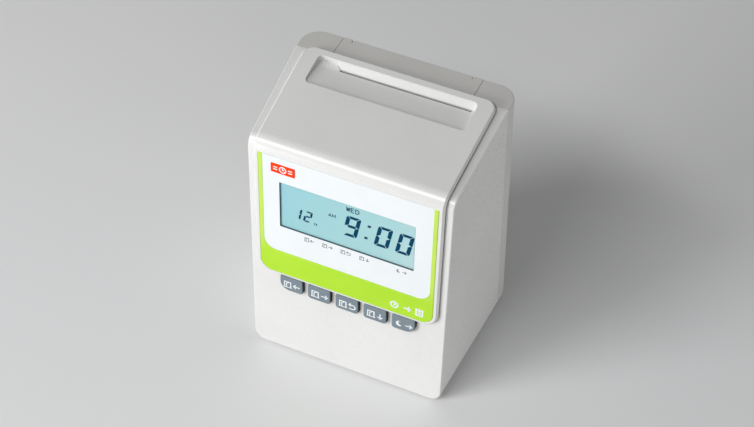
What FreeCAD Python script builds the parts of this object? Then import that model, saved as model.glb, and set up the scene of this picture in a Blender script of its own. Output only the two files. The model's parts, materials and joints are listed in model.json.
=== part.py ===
import FreeCAD, Part
import math
import os

V = FreeCAD.Vector
X_AXIS = V(1, 0, 0)
Y_AXIS = V(0, 1, 0)
Z_AXIS = V(0, 0, 1)

# ---------------------------------------------------------------- driving dimensions (mm)
# The clock stands on its feet at z = 0, its front faces -Y, and x = 0, y = 0 is its middle.
DEPTH = 107.0
HEIGHT = 185.4            # to the flat top behind the seam
WIDTH_FRONT = 132.7
WIDTH_REAR = 143.2
BASE_Z = 1.0              # underside of the casing, above the feet's soles
WALL = 2.4
FRONT_LEAN = math.radians(4.8)
TOP_SLOPE = math.radians(9.3)
BEND_R = 8.0
SEAM_Y = 34.0             # where the front and rear casings meet
SEAM_GAP = 0.3
SEAM_CHAMFER = 0.45       # along the rear casing's front edge
REAR_CORNER_R = 13.0
BOTTOM_R = 8.0
FRONT_EDGE_R = 0.8

HOOD_PROUD = 2.7          # hood face above the casing face
HOOD_GAP = 0.8            # shadow gap between the hood and the casing
HOOD_HALF_FRONT = 61.9
HOOD_HALF_REAR = 64.6
HOOD_LOW = 70.1           # lower edge, measured up the front face
HOOD_REAR_Y = 36.4
HOOD_FRONT_R = 10.5
HOOD_REAR_R = 8.0
HOOD_EDGE = 1.2           # chamfer all round the hood
OPENING_HALF = 56.5       # half width of the casing's opening under the hood
PANEL_TOP = 74.0          # top edge of the casing's front panel, under the hood
PAD_TOP = 166.0           # upper edge of the pad that stiffens the hood behind the display

POCKET_LENGTH = 105.6     # card pocket in the top of the hood
POCKET_FRONT_Y = 9.1
POCKET_REAR_Y = 31.2
POCKET_FRONT_DEEP = 1.2    # depth of the level pocket floor at its front edge
POCKET_R = 3.5
TUB_WALL = 1.6            # thickness round and under the pocket
LIP_SLANT = 4.0           # how far the lip's left end slants back to the left
LIP_CREASE = 0.5          # width of the crease along that slanted end
LIP_BELOW_RIM = 0.3       # the lip's upper edge below and before the pocket's rim
LIP_RIGHT_GAP = 0.4       # between the lip and the pocket's right wall
SLOT_LEFT = -37.3
SLOT_RIGHT = 49.8
CARD_Y = 27.7             # plane in which the time card hangs
SLOT_GAP = 1.8
GUIDE_GAP = 1.1           # from the card's plane to each guide plate
GUIDE_THICK = 1.2
GUIDE_LOW = 8.0
GUIDE_TOP = 178.0

TRIM_HALF = 59.0          # green trim round the display panel
TRIM_LOW = 72.4
TRIM_TOP = 169.2
TRIM_STRIP = 2.9
TRIM_BAND = 19.5
TRIM_R = 8.0
PANEL_THICK = 1.1
LCD_HALF = 44.9
LCD_LOW = 113.4
LCD_HIGH = 150.0
LCD_BORDER = 2.8          # glass hidden behind the panel, all round
GLASS_THICK = 1.8
BACKLIGHT_THICK = 3.6
BADGE_LEFT = -50.2
BADGE_RIGHT = -34.2
BADGE_LOW = 157.2
BADGE_HIGH = 164.2
DISPLAY_BOARD_DEPTH = 4.8 # front of the display board, behind the casing's face
DISPLAY_BOARD_HALF = 54.5
DISPLAY_POST_X = 51.5
BOARD_THICK = 1.6         # every circuit board

KEY_COUNT = 5
KEY_PITCH = 19.35
KEY_MIDDLE = 0.9          # the row of keys sits a little right of the middle
KEY_WIDTH = 15.8
KEY_LOW = 58.4
KEY_HIGH = 69.8
KEY_PROUD = 2.6
KEY_TRAVEL = 1.2
KEY_R = 2.2
KEY_END_R = 6.5
KEY_CLEARANCE = 0.3
KEY_FLANGE_DEPTH = WALL + 0.15   # the flange stops the key behind the casing's wall
KEY_BOARD_DEPTH = 11.0
KEY_POST_XS = (-53.0, 53.0)
KEY_POST_HEIGHTS = (52.0, 72.0)

HINGE_Y = 49.5
HINGE_Z = 181.5
HINGE_PIN_R = 1.5
HINGE_PIN_START = 41.5    # inner end of each hinge pin and barrel, from the middle
HINGE_PIN_END = 51.2
HINGE_BOSS_END = 52.5     # outer side of the rear casing's bosses for the pins
LEAF_HALF = 46.6
LEAF_FRONT_Y = POCKET_REAR_Y + 2
LEAF_THICK = 2.2
LEAF_NOTCH_X = 40.2       # notches in the leaf's rear edge
LEAF_PAD_HALF = 45.0
LEAF_SCREW_XS = (-30.0, 0.0, 30.0)
LEAF_SCREW_Y = 35.15
LEAF_ROOM_LOW = 175.3     # lowest point of the leaf's opening in the rear casing

FRAME_X = 57.5            # inner face of each steel side frame
FRAME_THICK = 1.2
FRAME_FRONT_Y = -24.0
FRAME_REAR_Y = 40.0
FRAME_TOP = 172.0
FRAME_SCREW_X = 52.5
FRAME_SCREW_YS = (-16.0, 34.0)
FLOOR_Z = BASE_Z + WALL + 1.6
BASE_HALF = 52.5          # base plate's opening in the underside
BASE_FRONT_Y = -44.0
BASE_REAR_Y = 40.0
BASE_FLANGE = 5.4

FEED_Y = 20.3
FEED_Z = 112.0
FEED_ROLLER_R = 7.0
SHAFT_R = 3.0
PINCH_Y = 33.1
PINCH_ROLLER_R = 5.0
ROLLER_XS = (-10.0, 25.0)
ROLLER_WIDTH = 10.0
GEAR_MODULE = 0.8
FEED_TEETH = 35
PINION_TEETH = 10
GEAR_WIDTH = 4.0
GEAR_X = 59.7
PINION_DIRECTION = math.radians(233.0)   # from the feed gear, in the YZ plane

SENSOR_XS = (-24.0, 34.0)
SENSOR_Z = 162.0

PRINT_Z = 144.0
ROD_Z = 126.0
ROD_YS = (-2.0, 14.0)
ROD_R = 3.0
CARRIAGE_HOME_X = -27.0
CARRIAGE_HALF = 10.0
PULLEY_X = 48.0
PULLEY_Z = 139.0
PULLEY_R = 5.0
BELT_Y = -14.0
BELT_WIDTH = 5.0
BELT_THICK = 1.0

CASSETTE_LEFT = -45.0
CASSETTE_RIGHT = 54.5
CASSETTE_FRONT_Y = 1.5
CASSETTE_REAR_Y = 23.3
CASSETTE_LOW = 152.5
CASSETTE_HIGH = 167.0
SPOOL_XS = (-22.0, 31.0)
SPOOL_Y = 12.4
SPOOL_R = 8.6

BOARD_Y = 46.3            # front of the main board
BOARD_HALF = 48.0
BOARD_LOW = 40.0
BOARD_HIGH = 162.0
CELL_R = 5.2              # cells of the back-up battery
CELL_PITCH = 10.6
CELL_COUNT = 3
JACK_X = -50.0
JACK_Z = 22.5
KEYHOLE_X = 40.0
KEYHOLE_Z = 146.0
KEYHOLE_HEAD_R = 4.6
KEYHOLE_SLOT_R = 2.3
KEYHOLE_DROP = 9.0        # from the slot's end down to the head's hole
SPEAKER_X = 36.0
SPEAKER_Z = 24.0


# ---------------------------------------------------------------- small helpers
def box(x0, x1, y0, y1, z0, z1):
    return Part.makeBox(x1 - x0, y1 - y0, z1 - z0, V(x0, y0, z0))


def rod(radius, start, end):
    along = end.sub(start)
    return Part.makeCylinder(radius, along.Length, start, along)


def tube(outer, inner, start, end):
    return rod(outer, start, end).cut(rod(inner, start, end))


def join(first, *others):
    return first.fuse(list(others)).removeSplitter()


def group(solids):
    return Part.makeCompound(solids)


def rounded_wire(corners, radii):
    """Closed outline through the corners, each rounded by a tangent arc of its radius."""
    edges = []
    count = len(corners)
    trims = []
    for i in range(count):
        before = corners[i - 1].sub(corners[i]).normalize()
        after = corners[(i + 1) % count].sub(corners[i]).normalize()
        half = before.getAngle(after) / 2.0
        reach = radii[i] / math.tan(half) if radii[i] else 0.0
        start = corners[i].add(before.multiply(reach))
        end = corners[i].add(after.multiply(reach))
        middle = None
        if radii[i]:
            bisector = start.add(end).multiply(0.5).sub(corners[i]).normalize()
            centre_reach = radii[i] / math.sin(half)
            middle = corners[i].add(bisector.multiply(centre_reach - radii[i]))
        trims.append((start, middle, end))
    for i in range(count):
        start, middle, end = trims[i]
        if middle is not None:
            edges.append(Part.Arc(start, middle, end).toShape())
        following = trims[(i + 1) % count][0]
        if end.distanceToPoint(following) > 1e-6:
            edges.append(Part.LineSegment(end, following).toShape())
    return Part.Wire(Part.__sortEdges__(edges))


def slab(corners, radii, along):
    return Part.Face(rounded_wire(corners, radii)).extrude(along)


def edge_near(shape, point):
    """The edge whose curve passes closest to a point."""
    marker = Part.Vertex(point)
    return min(shape.Edges, key=lambda edge: edge.distToShape(marker)[0])


def on_front(shape):
    """Place a shape drawn upright: its Y is depth behind the front face, its Z runs up it."""
    placed = shape.copy()
    placed.rotate(V(0, 0, 0), X_AXIS, -math.degrees(FRONT_LEAN))
    placed.translate(V(0, -DEPTH / 2, 0))
    return placed


def front_rect(x0, x1, low, high, radii, depth0, depth1):
    """A plate on the front face between two depths; radii run from the lower left corner."""
    corners = [V(x0, depth0, low), V(x1, depth0, low), V(x1, depth0, high), V(x0, depth0, high)]
    return slab(corners, radii, V(0, depth1 - depth0, 0))


# ---------------------------------------------------------------- casing surfaces
def front_y(z, out):
    """Y of the front face at a height, moved outwards by a distance."""
    return -DEPTH / 2 + z * math.tan(FRONT_LEAN) - out / math.cos(FRONT_LEAN)


def slope_z(y, out):
    """Height of the sloping top at a depth, moved outwards by a distance."""
    return HEIGHT - (SEAM_Y - y) * math.tan(TOP_SLOPE) + out / math.cos(TOP_SLOPE)


def bend_corner(out):
    """Sharp corner between the front face and the sloping top, as (y, z)."""
    rise = math.tan(TOP_SLOPE)
    lean = math.tan(FRONT_LEAN)
    z = (slope_z(front_y(0, out), out)) / (1 - rise * lean)
    return V(0, front_y(z, out), z)


def side_profile(out, low_z, rear_y):
    """Solid below the front face and the sloping top, wide enough for the whole casing."""
    corner = bend_corner(out)
    outline = [
        V(-WIDTH_REAR, front_y(low_z, out), low_z),
        V(-WIDTH_REAR, corner.y, corner.z),
        V(-WIDTH_REAR, rear_y, slope_z(rear_y, out)),
        V(-WIDTH_REAR, rear_y, low_z),
    ]
    return slab(outline, [0, BEND_R + out, 0, 0], V(2 * WIDTH_REAR, 0, 0))


def tapered_block(half_front, half_rear, low_z, high_z):
    """Block in plan between the front (narrow) and the back (wide) of the casing."""
    front = -DEPTH / 2
    rear = DEPTH / 2
    spread = (half_rear - half_front) / DEPTH
    reach = 10.0
    corners = [
        V(-half_front + spread * reach, front - reach, low_z),
        V(half_front - spread * reach, front - reach, low_z),
        V(half_rear, rear, low_z),
        V(-half_rear, rear, low_z),
    ]
    return slab(corners, [0, 0, 0, 0], V(0, 0, high_z - low_z))


def half_width(y):
    """Half width of the casing at a depth."""
    return (WIDTH_FRONT + (WIDTH_REAR - WIDTH_FRONT) * (y + DEPTH / 2) / DEPTH) / 2


def front_form(inset, rear_y):
    """Outer form of the front casing, or its cavity when inset by the wall."""
    block = tapered_block(WIDTH_FRONT / 2 - inset, WIDTH_REAR / 2 - inset, BASE_Z + inset, HEIGHT)
    form = block.common(side_profile(-inset, BASE_Z + inset, rear_y))
    probe_x = half_width(0) - inset
    low_edges = [edge_near(form, V(side * probe_x, 0, BASE_Z + inset)) for side in (-1, 1)]
    return form.makeFillet(BOTTOM_R - inset, low_edges)


def rear_form(inset):
    """Outer form of the rear casing, or its cavity when inset by the wall."""
    block = tapered_block(WIDTH_REAR / 2 - inset - (WIDTH_REAR - WIDTH_FRONT) / 2,
                          WIDTH_REAR / 2 - inset, BASE_Z + inset, HEIGHT - inset)
    form = block.common(box(-WIDTH_REAR, WIDTH_REAR, -DEPTH / 2, DEPTH / 2 - inset, 0, HEIGHT))
    corner_y = DEPTH / 2 - inset
    corner_x = half_width(corner_y) - inset
    middle_z = HEIGHT / 2
    uprights = [edge_near(form, V(side * corner_x, corner_y, middle_z)) for side in (-1, 1)]
    form = form.makeFillet(REAR_CORNER_R - inset, uprights)
    low_edge = edge_near(form, V(0, corner_y, BASE_Z + inset))
    return form.makeFillet(BOTTOM_R - inset, [low_edge])


def floor_opening(margin, low_z, high_z):
    """The base plate's opening through the underside of both casings."""
    half = BASE_HALF + margin
    front = BASE_FRONT_Y - margin
    rear = BASE_REAR_Y + margin
    corners = [V(-half, front, low_z), V(half, front, low_z), V(half, rear, low_z), V(-half, rear, low_z)]
    return slab(corners, [4, 4, 4, 4], V(0, 0, high_z - low_z))


def key_centres():
    return [KEY_MIDDLE + (i - (KEY_COUNT - 1) / 2) * KEY_PITCH for i in range(KEY_COUNT)]


def key_radii(index, growth):
    """Corner radii of a key: the outer lower corner of each end key is large."""
    left = KEY_END_R if index == 0 else KEY_R
    right = KEY_END_R if index == KEY_COUNT - 1 else KEY_R
    return [left + growth, right + growth, KEY_R / 2, KEY_R / 2]


def key_posts():
    """Centres of the four posts that carry the key board, in the front face's plane."""
    return [(x, s) for x in KEY_POST_XS for s in KEY_POST_HEIGHTS]


# ---------------------------------------------------------------- casing
def make_main_housing():
    outer = front_form(0, SEAM_Y + 10)
    outer = outer.common(box(-WIDTH_REAR, WIDTH_REAR, -DEPTH, SEAM_Y - SEAM_GAP / 2, 0, HEIGHT))
    side_edge = edge_near(outer, V(half_width(front_y(100, 0)), front_y(100, 0), 100))
    outer = outer.makeFillet(FRONT_EDGE_R, [side_edge])
    shell = outer.cut(front_form(WALL, SEAM_Y + 10))
    top_opening = box(-OPENING_HALF, OPENING_HALF, -DEPTH, SEAM_Y + 1, PANEL_TOP / 2, HEIGHT + 10)
    above_panel = on_front(box(-WIDTH_REAR, WIDTH_REAR, -20, DEPTH * 2, PANEL_TOP, HEIGHT * 2))
    shell = shell.cut(top_opening.common(above_panel))
    for index, x in enumerate(key_centres()):
        half = KEY_WIDTH / 2 + KEY_CLEARANCE
        hole = front_rect(x - half, x + half, KEY_LOW - KEY_CLEARANCE, KEY_HIGH + KEY_CLEARANCE,
                          key_radii(index, KEY_CLEARANCE), -1, WALL + 1)
        shell = shell.cut(on_front(hole))
    posts = [on_front(rod(2.4, V(x, WALL - 0.4, s), V(x, KEY_BOARD_DEPTH, s)))
             for x, s in key_posts()]
    shell = join(shell, *posts)
    shell = shell.cut(floor_opening(0, 0, BASE_Z + WALL + 0.5))
    for position in base_screw_places():
        if position.y < SEAM_Y:
            shell = shell.cut(screw_hole(position))
    return shell


def make_rear_housing():
    outer = rear_form(0)
    outer = outer.common(box(-WIDTH_REAR, WIDTH_REAR, SEAM_Y + SEAM_GAP / 2, DEPTH, 0, HEIGHT))
    top_edge = edge_near(outer, V(half_width(SEAM_Y + 2), SEAM_Y + 2, HEIGHT))
    outer = outer.makeFillet(0.8, [top_edge])
    seam_face = min(outer.Faces, key=lambda face: face.CenterOfMass.y)
    seam_edges = [edge for edge in seam_face.OuterWire.Edges if edge.CenterOfMass.z > BASE_Z + 1]
    outer = outer.makeChamfer(SEAM_CHAMFER, seam_edges)
    shell = outer.cut(rear_form(WALL))
    leaf_room = LEAF_HALF + 0.3
    shell = shell.cut(box(-leaf_room, leaf_room, SEAM_Y - 1, DEPTH, LEAF_ROOM_LOW,
                          HEIGHT + 1))
    shell = shell.cut(floor_opening(0, 0, BASE_Z + WALL + 0.5))
    for side in (-1, 1):
        inner_x = side * (leaf_room + 0.1)
        outer_x = side * HINGE_BOSS_END
        low, high = sorted((inner_x, outer_x))
        boss = box(low, high, HINGE_Y - 4, DEPTH / 2 - 1, HINGE_Z - 4, HEIGHT - 1)
        shell = join(shell, boss)
        bore = rod(HINGE_PIN_R + 0.05, V(inner_x - side, HINGE_Y, HINGE_Z),
                   V(side * (HINGE_PIN_END + 0.3), HINGE_Y, HINGE_Z))
        shell = shell.cut(bore)
        shell = shell.cut(wall_keyhole(side * KEYHOLE_X))
    inner_y = DEPTH / 2 - WALL - 1
    outer_y = DEPTH / 2 + 1
    shell = shell.cut(rod(4.6, V(JACK_X, inner_y, JACK_Z), V(JACK_X, outer_y, JACK_Z)))
    for i in range(-2, 3):
        for j in range(-2, 3):
            x = SPEAKER_X + 4.2 * i
            z = SPEAKER_Z + 4.2 * j
            if abs(i) + abs(j) < 4:
                shell = shell.cut(rod(1.1, V(x, inner_y, z), V(x, outer_y, z)))
    for i in range(9):
        x = (i - 4) * 8.0
        shell = shell.cut(box(x - 1.5, x + 1.5, inner_y, outer_y, 60, 96))
    for position in base_screw_places():
        if position.y > SEAM_Y:
            shell = shell.cut(screw_hole(position))
    return shell


def wall_keyhole(x):
    """Hole for a wall screw: its head goes in below and its neck slides up the slot."""
    inner_y = DEPTH / 2 - WALL - 1
    outer_y = DEPTH / 2 + 1
    low = KEYHOLE_Z - KEYHOLE_DROP
    head = rod(KEYHOLE_HEAD_R, V(x, inner_y, low), V(x, outer_y, low))
    neck = box(x - KEYHOLE_SLOT_R, x + KEYHOLE_SLOT_R, inner_y, outer_y, low, KEYHOLE_Z)
    top = rod(KEYHOLE_SLOT_R, V(x, inner_y, KEYHOLE_Z), V(x, outer_y, KEYHOLE_Z))
    return join(head, neck, top)


def base_screw_places():
    return [V(x, y, BASE_Z) for x in (-55.3, 55.3) for y in (-38, 22, 37.4)]


def screw_hole(position):
    neck = rod(1.7, position, position.add(V(0, 0, WALL + 0.5)))
    head = rod(2.6, position.sub(V(0, 0, 0.5)), position.add(V(0, 0, 1.3)))
    return join(neck, head)


def make_base_plate():
    plug = floor_opening(-0.2, BASE_Z, BASE_Z + WALL)
    flange = floor_opening(BASE_FLANGE, BASE_Z + WALL, FLOOR_Z)
    plate = join(plug, flange)
    for place in foot_places():
        plate = plate.cut(rod(6.3, place.sub(V(0, 0, 1)), place.add(V(0, 0, 1.8))))
    for position in base_screw_places():
        plate = plate.cut(rod(1.25, position, position.add(V(0, 0, 10))))
    for x in range(-24, 25, 8):
        plate = plate.cut(box(x - 1.5, x + 1.5, -30, 0, 0, FLOOR_Z + 1))
    return plate


def foot_places():
    return [V(x, y, 0) for x in (-44, 44) for y in (-34, 33)]


def make_rubber_feet():
    feet = []
    for place in foot_places():
        foot = rod(6.0, place, place.add(V(0, 0, 1.8)))
        feet.append(foot.makeFillet(0.4, [edge_near(foot, place.add(V(-6, 0, 0)))]))
    return group(feet)


def make_base_screws():
    screws = []
    for position in base_screw_places():
        head = rod(2.4, position.add(V(0, 0, 0.1)), position.add(V(0, 0, 1.3)))
        shank = rod(1.2, position.add(V(0, 0, 1.3)), position.add(V(0, 0, WALL + 1.5)))
        slot = box(-0.3, 0.3, -1.6, 1.6, 0, 0.6)
        cross = join(slot, box(-1.6, 1.6, -0.3, 0.3, 0, 0.6))
        cross.translate(position)
        screws.append(join(head, shank).cut(cross))
    return group(screws)


# ---------------------------------------------------------------- hood
def hood_half(y):
    return HOOD_HALF_FRONT + (HOOD_HALF_REAR - HOOD_HALF_FRONT) * (y + DEPTH / 2) / DEPTH


def pocket_floor():
    """Height of the pocket's level floor."""
    return slope_z(POCKET_FRONT_Y, HOOD_PROUD) - POCKET_FRONT_DEEP


def pocket_slab(growth, below, high):
    """The pocket's plan, from a distance below its floor to one above the hood's top face."""
    half = POCKET_LENGTH / 2 + growth
    front = POCKET_FRONT_Y - growth
    rear = POCKET_REAR_Y + growth
    z = pocket_floor() - below
    corners = [V(-half, front, z), V(half, front, z), V(half, rear, z), V(-half, rear, z)]
    prism = slab(corners, [POCKET_R + growth] * 4, V(0, 0, HEIGHT))
    return prism.common(side_profile(HOOD_PROUD + high, 0, DEPTH / 2))


def slot_guide():
    """Sloping lip behind the slot that leads the card's lower edge into it."""
    rear = POCKET_REAR_Y + TUB_WALL / 2
    mouth = CARD_Y + SLOT_GAP / 2
    floor = pocket_floor()
    top = slope_z(POCKET_REAR_Y, HOOD_PROUD) - LIP_BELOW_RIM
    end_x = SLOT_LEFT - LIP_SLANT
    outline = [V(end_x, mouth, floor - TUB_WALL), V(end_x, mouth, floor),
               V(end_x, POCKET_REAR_Y - LIP_BELOW_RIM, top), V(end_x, rear, top),
               V(end_x, rear, floor - TUB_WALL)]
    lip = slab(outline, [0] * 5, V(POCKET_LENGTH / 2 - end_x - LIP_RIGHT_GAP, 0, 0))
    return lip.cut(lip_end(LIP_SLANT))


def lip_end(width):
    """Upright wedge along the slanted left end of the lip, that wide on its left."""
    mouth = CARD_Y + SLOT_GAP / 2
    rear = POCKET_REAR_Y + 1
    corners = [V(SLOT_LEFT, mouth - 0.1, 0), V(SLOT_LEFT - LIP_SLANT, rear, 0),
               V(SLOT_LEFT - LIP_SLANT - width, rear, 0), V(SLOT_LEFT - width, mouth - 0.1, 0)]
    return slab(corners, [0] * 4, V(0, 0, HEIGHT * 2))


def make_hood():
    block = tapered_block(HOOD_HALF_FRONT, HOOD_HALF_REAR, 0, HEIGHT + 20)
    outer = side_profile(HOOD_PROUD, 0, HOOD_REAR_Y)
    cover = block.common(outer)
    cover = cover.common(on_front(box(-100, 100, -20, 300, HOOD_LOW, 400)))
    low_z = HOOD_LOW * math.cos(FRONT_LEAN)
    low_y = front_y(low_z, 0)
    low_corners = [edge_near(cover, V(side * hood_half(low_y), low_y, low_z)) for side in (-1, 1)]
    cover = cover.makeFillet(HOOD_FRONT_R, low_corners)
    rear_x = hood_half(HOOD_REAR_Y)
    rear_edges = [edge_near(cover, V(side * rear_x, HOOD_REAR_Y, HEIGHT - 20)) for side in (-1, 1)]
    cover = cover.makeFillet(HOOD_REAR_R, rear_edges)
    rim_z = (HOOD_LOW + TRIM_TOP) / 2
    rim_y = front_y(rim_z, HOOD_PROUD)
    cover = cover.makeChamfer(HOOD_EDGE, [edge_near(cover, V(hood_half(rim_y), rim_y, rim_z))])
    cover = cover.cut(side_profile(HOOD_GAP, -5, DEPTH))
    inner_half = OPENING_HALF - 0.8
    pad = on_front(box(-inner_half, inner_half, -HOOD_GAP - 0.7, 1.2, PANEL_TOP + 1.2, PAD_TOP))
    tub = pocket_slab(TUB_WALL, TUB_WALL, -0.6)
    leaf_pad = box(-LEAF_PAD_HALF, LEAF_PAD_HALF, LEAF_FRONT_Y, HOOD_REAR_Y - 0.1, HEIGHT, HEIGHT + 1.5)
    hood = join(cover, pad, tub, leaf_pad)
    hood = hood.cut(pocket_slab(0, 0, 2))
    hood = join(hood, slot_guide())
    slot = box(SLOT_LEFT, SLOT_RIGHT, CARD_Y - SLOT_GAP / 2, CARD_Y + SLOT_GAP / 2, 160, 200)
    inside_pocket = pocket_slab(-0.2, 1.0, 2)
    hood = hood.cut(slot).cut(lip_end(LIP_CREASE).common(inside_pocket))
    recess = front_rect(-TRIM_HALF - 0.1, TRIM_HALF + 0.1, TRIM_LOW - 0.1, TRIM_TOP + 0.1,
                        [TRIM_R + 0.1, TRIM_R + 0.1, 0.5, 0.5],
                        -HOOD_PROUD - 2, -HOOD_PROUD + PANEL_THICK)
    margin = LCD_BORDER + 0.3
    window = front_rect(-LCD_HALF - margin, LCD_HALF + margin, LCD_LOW - margin, LCD_HIGH + margin,
                        [1] * 4, -10, 10)
    hood = hood.cut(on_front(join(recess, window)))
    posts = [on_front(tube(2.4, 1.1, V(x, 1.0, s), V(x, DISPLAY_BOARD_DEPTH, s)))
             for x, s in display_posts()]
    hood = join(hood, *posts)
    for x in LEAF_SCREW_XS:
        hood = hood.cut(rod(0.95, V(x, LEAF_SCREW_Y, HEIGHT - 1), V(x, LEAF_SCREW_Y, HEIGHT + 2)))
    return hood


def display_posts():
    middle = (LCD_LOW + LCD_HIGH) / 2
    return [(x, middle + dz) for x in (-DISPLAY_POST_X, DISPLAY_POST_X) for dz in (-20, 20)]


def make_hinge_leaf():
    rear = DEPTH / 2
    plate = box(-LEAF_HALF, LEAF_HALF, LEAF_FRONT_Y, rear, HEIGHT - LEAF_THICK, HEIGHT)
    skirt = box(-LEAF_HALF, LEAF_HALF, rear - 1.8, rear, HINGE_Z - 4.4, HEIGHT)
    leaf = join(plate, skirt)
    for side in (-1, 1):
        low, high = sorted((side * HINGE_PIN_START, side * LEAF_HALF))
        barrel = rod(3.2, V(low, HINGE_Y, HINGE_Z), V(high, HINGE_Y, HINGE_Z))
        web = box(low, high, HINGE_Y - 3.2, HINGE_Y + 3.2, HINGE_Z, HEIGHT - 1)
        leaf = join(leaf, barrel, web)
    leaf = leaf.cut(rod(HINGE_PIN_R + 0.02, V(-LEAF_HALF - 1, HINGE_Y, HINGE_Z),
                        V(LEAF_HALF + 1, HINGE_Y, HINGE_Z)))
    for side in (-1, 1):
        x = side * LEAF_NOTCH_X
        leaf = leaf.cut(box(x - 0.5, x + 0.5, rear - 2.5, rear + 1, HINGE_Z - 6, HEIGHT + 1))
    for x in LEAF_SCREW_XS:
        leaf = leaf.cut(rod(1.3, V(x, LEAF_SCREW_Y, HEIGHT - 3), V(x, LEAF_SCREW_Y, HEIGHT + 1)))
    edge = edge_near(leaf, V(0, rear, HEIGHT))
    return leaf.makeFillet(0.5, [edge])


def make_hinge_pins():
    pins = []
    for side in (-1, 1):
        pins.append(rod(HINGE_PIN_R, V(side * HINGE_PIN_START, HINGE_Y, HINGE_Z),
                        V(side * HINGE_PIN_END, HINGE_Y, HINGE_Z)))
    return group(pins)


def make_leaf_screws():
    screws = []
    under = HEIGHT - LEAF_THICK
    y = LEAF_SCREW_Y
    for x in LEAF_SCREW_XS:
        head = rod(2.2, V(x, y, under - 1.5), V(x, y, under))
        shank = rod(0.9, V(x, y, under), V(x, y, HEIGHT + 1.4))
        slot = box(x - 1.6, x + 1.6, y - 0.3, y + 0.3, under - 1.6, under - 0.9)
        screws.append(join(head, shank).cut(slot))
    return group(screws)


def panel_depths():
    """Front and back of the display panel, as depths behind the casing's front face."""
    return -HOOD_PROUD, -HOOD_PROUD + PANEL_THICK


def make_green_trim():
    front, back = panel_depths()
    outer = front_rect(-TRIM_HALF, TRIM_HALF, TRIM_LOW, TRIM_TOP, [TRIM_R, TRIM_R, 0.4, 0.4],
                       front - 0.15, back)
    inner_half = TRIM_HALF - TRIM_STRIP
    inner = front_rect(-inner_half, inner_half, TRIM_LOW + TRIM_BAND, TRIM_TOP + 5,
                       [TRIM_R, TRIM_R, 0, 0], front - 5, back + 5)
    trim = outer.cut(inner)
    rim = [edge_near(trim, V(TRIM_HALF, front - 0.15, (TRIM_LOW + TRIM_TOP) / 2))]
    return on_front(trim.makeChamfer(0.35, rim))


def make_window_panel():
    front, back = panel_depths()
    gap = 0.05
    half = TRIM_HALF - TRIM_STRIP - gap
    panel = front_rect(-half, half, TRIM_LOW + TRIM_BAND + gap, TRIM_TOP, [TRIM_R, TRIM_R, 0.4, 0.4],
                       front, back)
    window = front_rect(-LCD_HALF, LCD_HALF, LCD_LOW, LCD_HIGH, [0.6] * 4, front - 5, back + 5)
    return on_front(panel.cut(window))


def make_badge_plate():
    front = -HOOD_PROUD
    return on_front(front_rect(BADGE_LEFT, BADGE_RIGHT, BADGE_LOW, BADGE_HIGH, [0.6] * 4,
                               front - 0.3, front))


def lcd_layer(depth0, depth1):
    """A layer of the display, between two depths behind the casing's front face."""
    return on_front(front_rect(-LCD_HALF - LCD_BORDER, LCD_HALF + LCD_BORDER, LCD_LOW - LCD_BORDER,
                               LCD_HIGH + LCD_BORDER, [0.5] * 4, depth0, depth1))


def make_lcd_glass():
    front = panel_depths()[1]
    return lcd_layer(front, front + GLASS_THICK)


def make_lcd_backlight():
    front = panel_depths()[1] + GLASS_THICK
    return lcd_layer(front, front + BACKLIGHT_THICK)


def make_display_board():
    middle = (LCD_LOW + LCD_HIGH) / 2
    back = DISPLAY_BOARD_DEPTH + BOARD_THICK
    board = front_rect(-DISPLAY_BOARD_HALF, DISPLAY_BOARD_HALF, middle - 23.5, middle + 23.5,
                       [1.5] * 4, DISPLAY_BOARD_DEPTH, back)
    for x, s in display_posts():
        board = board.cut(rod(1.2, V(x, 0, s), V(x, 20, s)))
    chip = box(-12, 8, back, back + 1.8, middle - 9, middle + 9)
    socket = box(20, 42, back, back + 3, middle - 20, middle - 14)
    return on_front(join(board, chip, socket))


def make_display_screws():
    screws = []
    back = DISPLAY_BOARD_DEPTH + BOARD_THICK
    for x, s in display_posts():
        head = rod(2.3, V(x, back, s), V(x, back + 1.5, s))
        shank = rod(1.0, V(x, 3.0, s), V(x, back, s))
        slot = box(x - 1.5, x + 1.5, back + 0.9, back + 1.6, s - 0.3, s + 0.3)
        screws.append(on_front(join(head, shank).cut(slot)))
    return group(screws)


# ---------------------------------------------------------------- keys
def make_key(index):
    x = key_centres()[index]
    cap = front_rect(x - KEY_WIDTH / 2, x + KEY_WIDTH / 2, KEY_LOW, KEY_HIGH,
                     key_radii(index, 0), -KEY_PROUD, KEY_FLANGE_DEPTH)
    face_rim = edge_near(cap, V(x, -KEY_PROUD, KEY_LOW))
    cap = cap.makeFillet(0.6, [face_rim])
    flange = front_rect(x - KEY_WIDTH / 2 - 1, x + KEY_WIDTH / 2 + 1, KEY_LOW - 1.2, KEY_HIGH + 1.2,
                        [1] * 4, KEY_FLANGE_DEPTH, KEY_FLANGE_DEPTH + 1)
    middle = (KEY_LOW + KEY_HIGH) / 2
    stem = rod(1.9, V(x, WALL + 1, middle), V(x, 5.4, middle))
    return on_front(join(cap, flange, stem))


def make_key_board():
    back = KEY_BOARD_DEPTH + BOARD_THICK
    board = front_rect(-56, 56, 49, 75, [1.5] * 4, KEY_BOARD_DEPTH, back)
    for x, s in key_posts():
        board = board.cut(rod(1.1, V(x, 0, s), V(x, 20, s)))
    socket = box(30, 44, back, back + 3.9, 51, 57)
    return on_front(join(board, socket))


def make_tact_switches():
    middle = (KEY_LOW + KEY_HIGH) / 2
    switches = []
    for x in key_centres():
        front = KEY_BOARD_DEPTH - 3.4
        body = box(x - 3, x + 3, front, KEY_BOARD_DEPTH, middle - 3, middle + 3)
        plunger = rod(1.7, V(x, front - 0.7, middle), V(x, front, middle))
        switches.append(on_front(join(body, plunger)))
    return group(switches)


# ---------------------------------------------------------------- frame and card path
def frame_place(side):
    """X span of a side frame, lowest first."""
    return sorted((side * FRAME_X, side * (FRAME_X + FRAME_THICK)))


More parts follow.
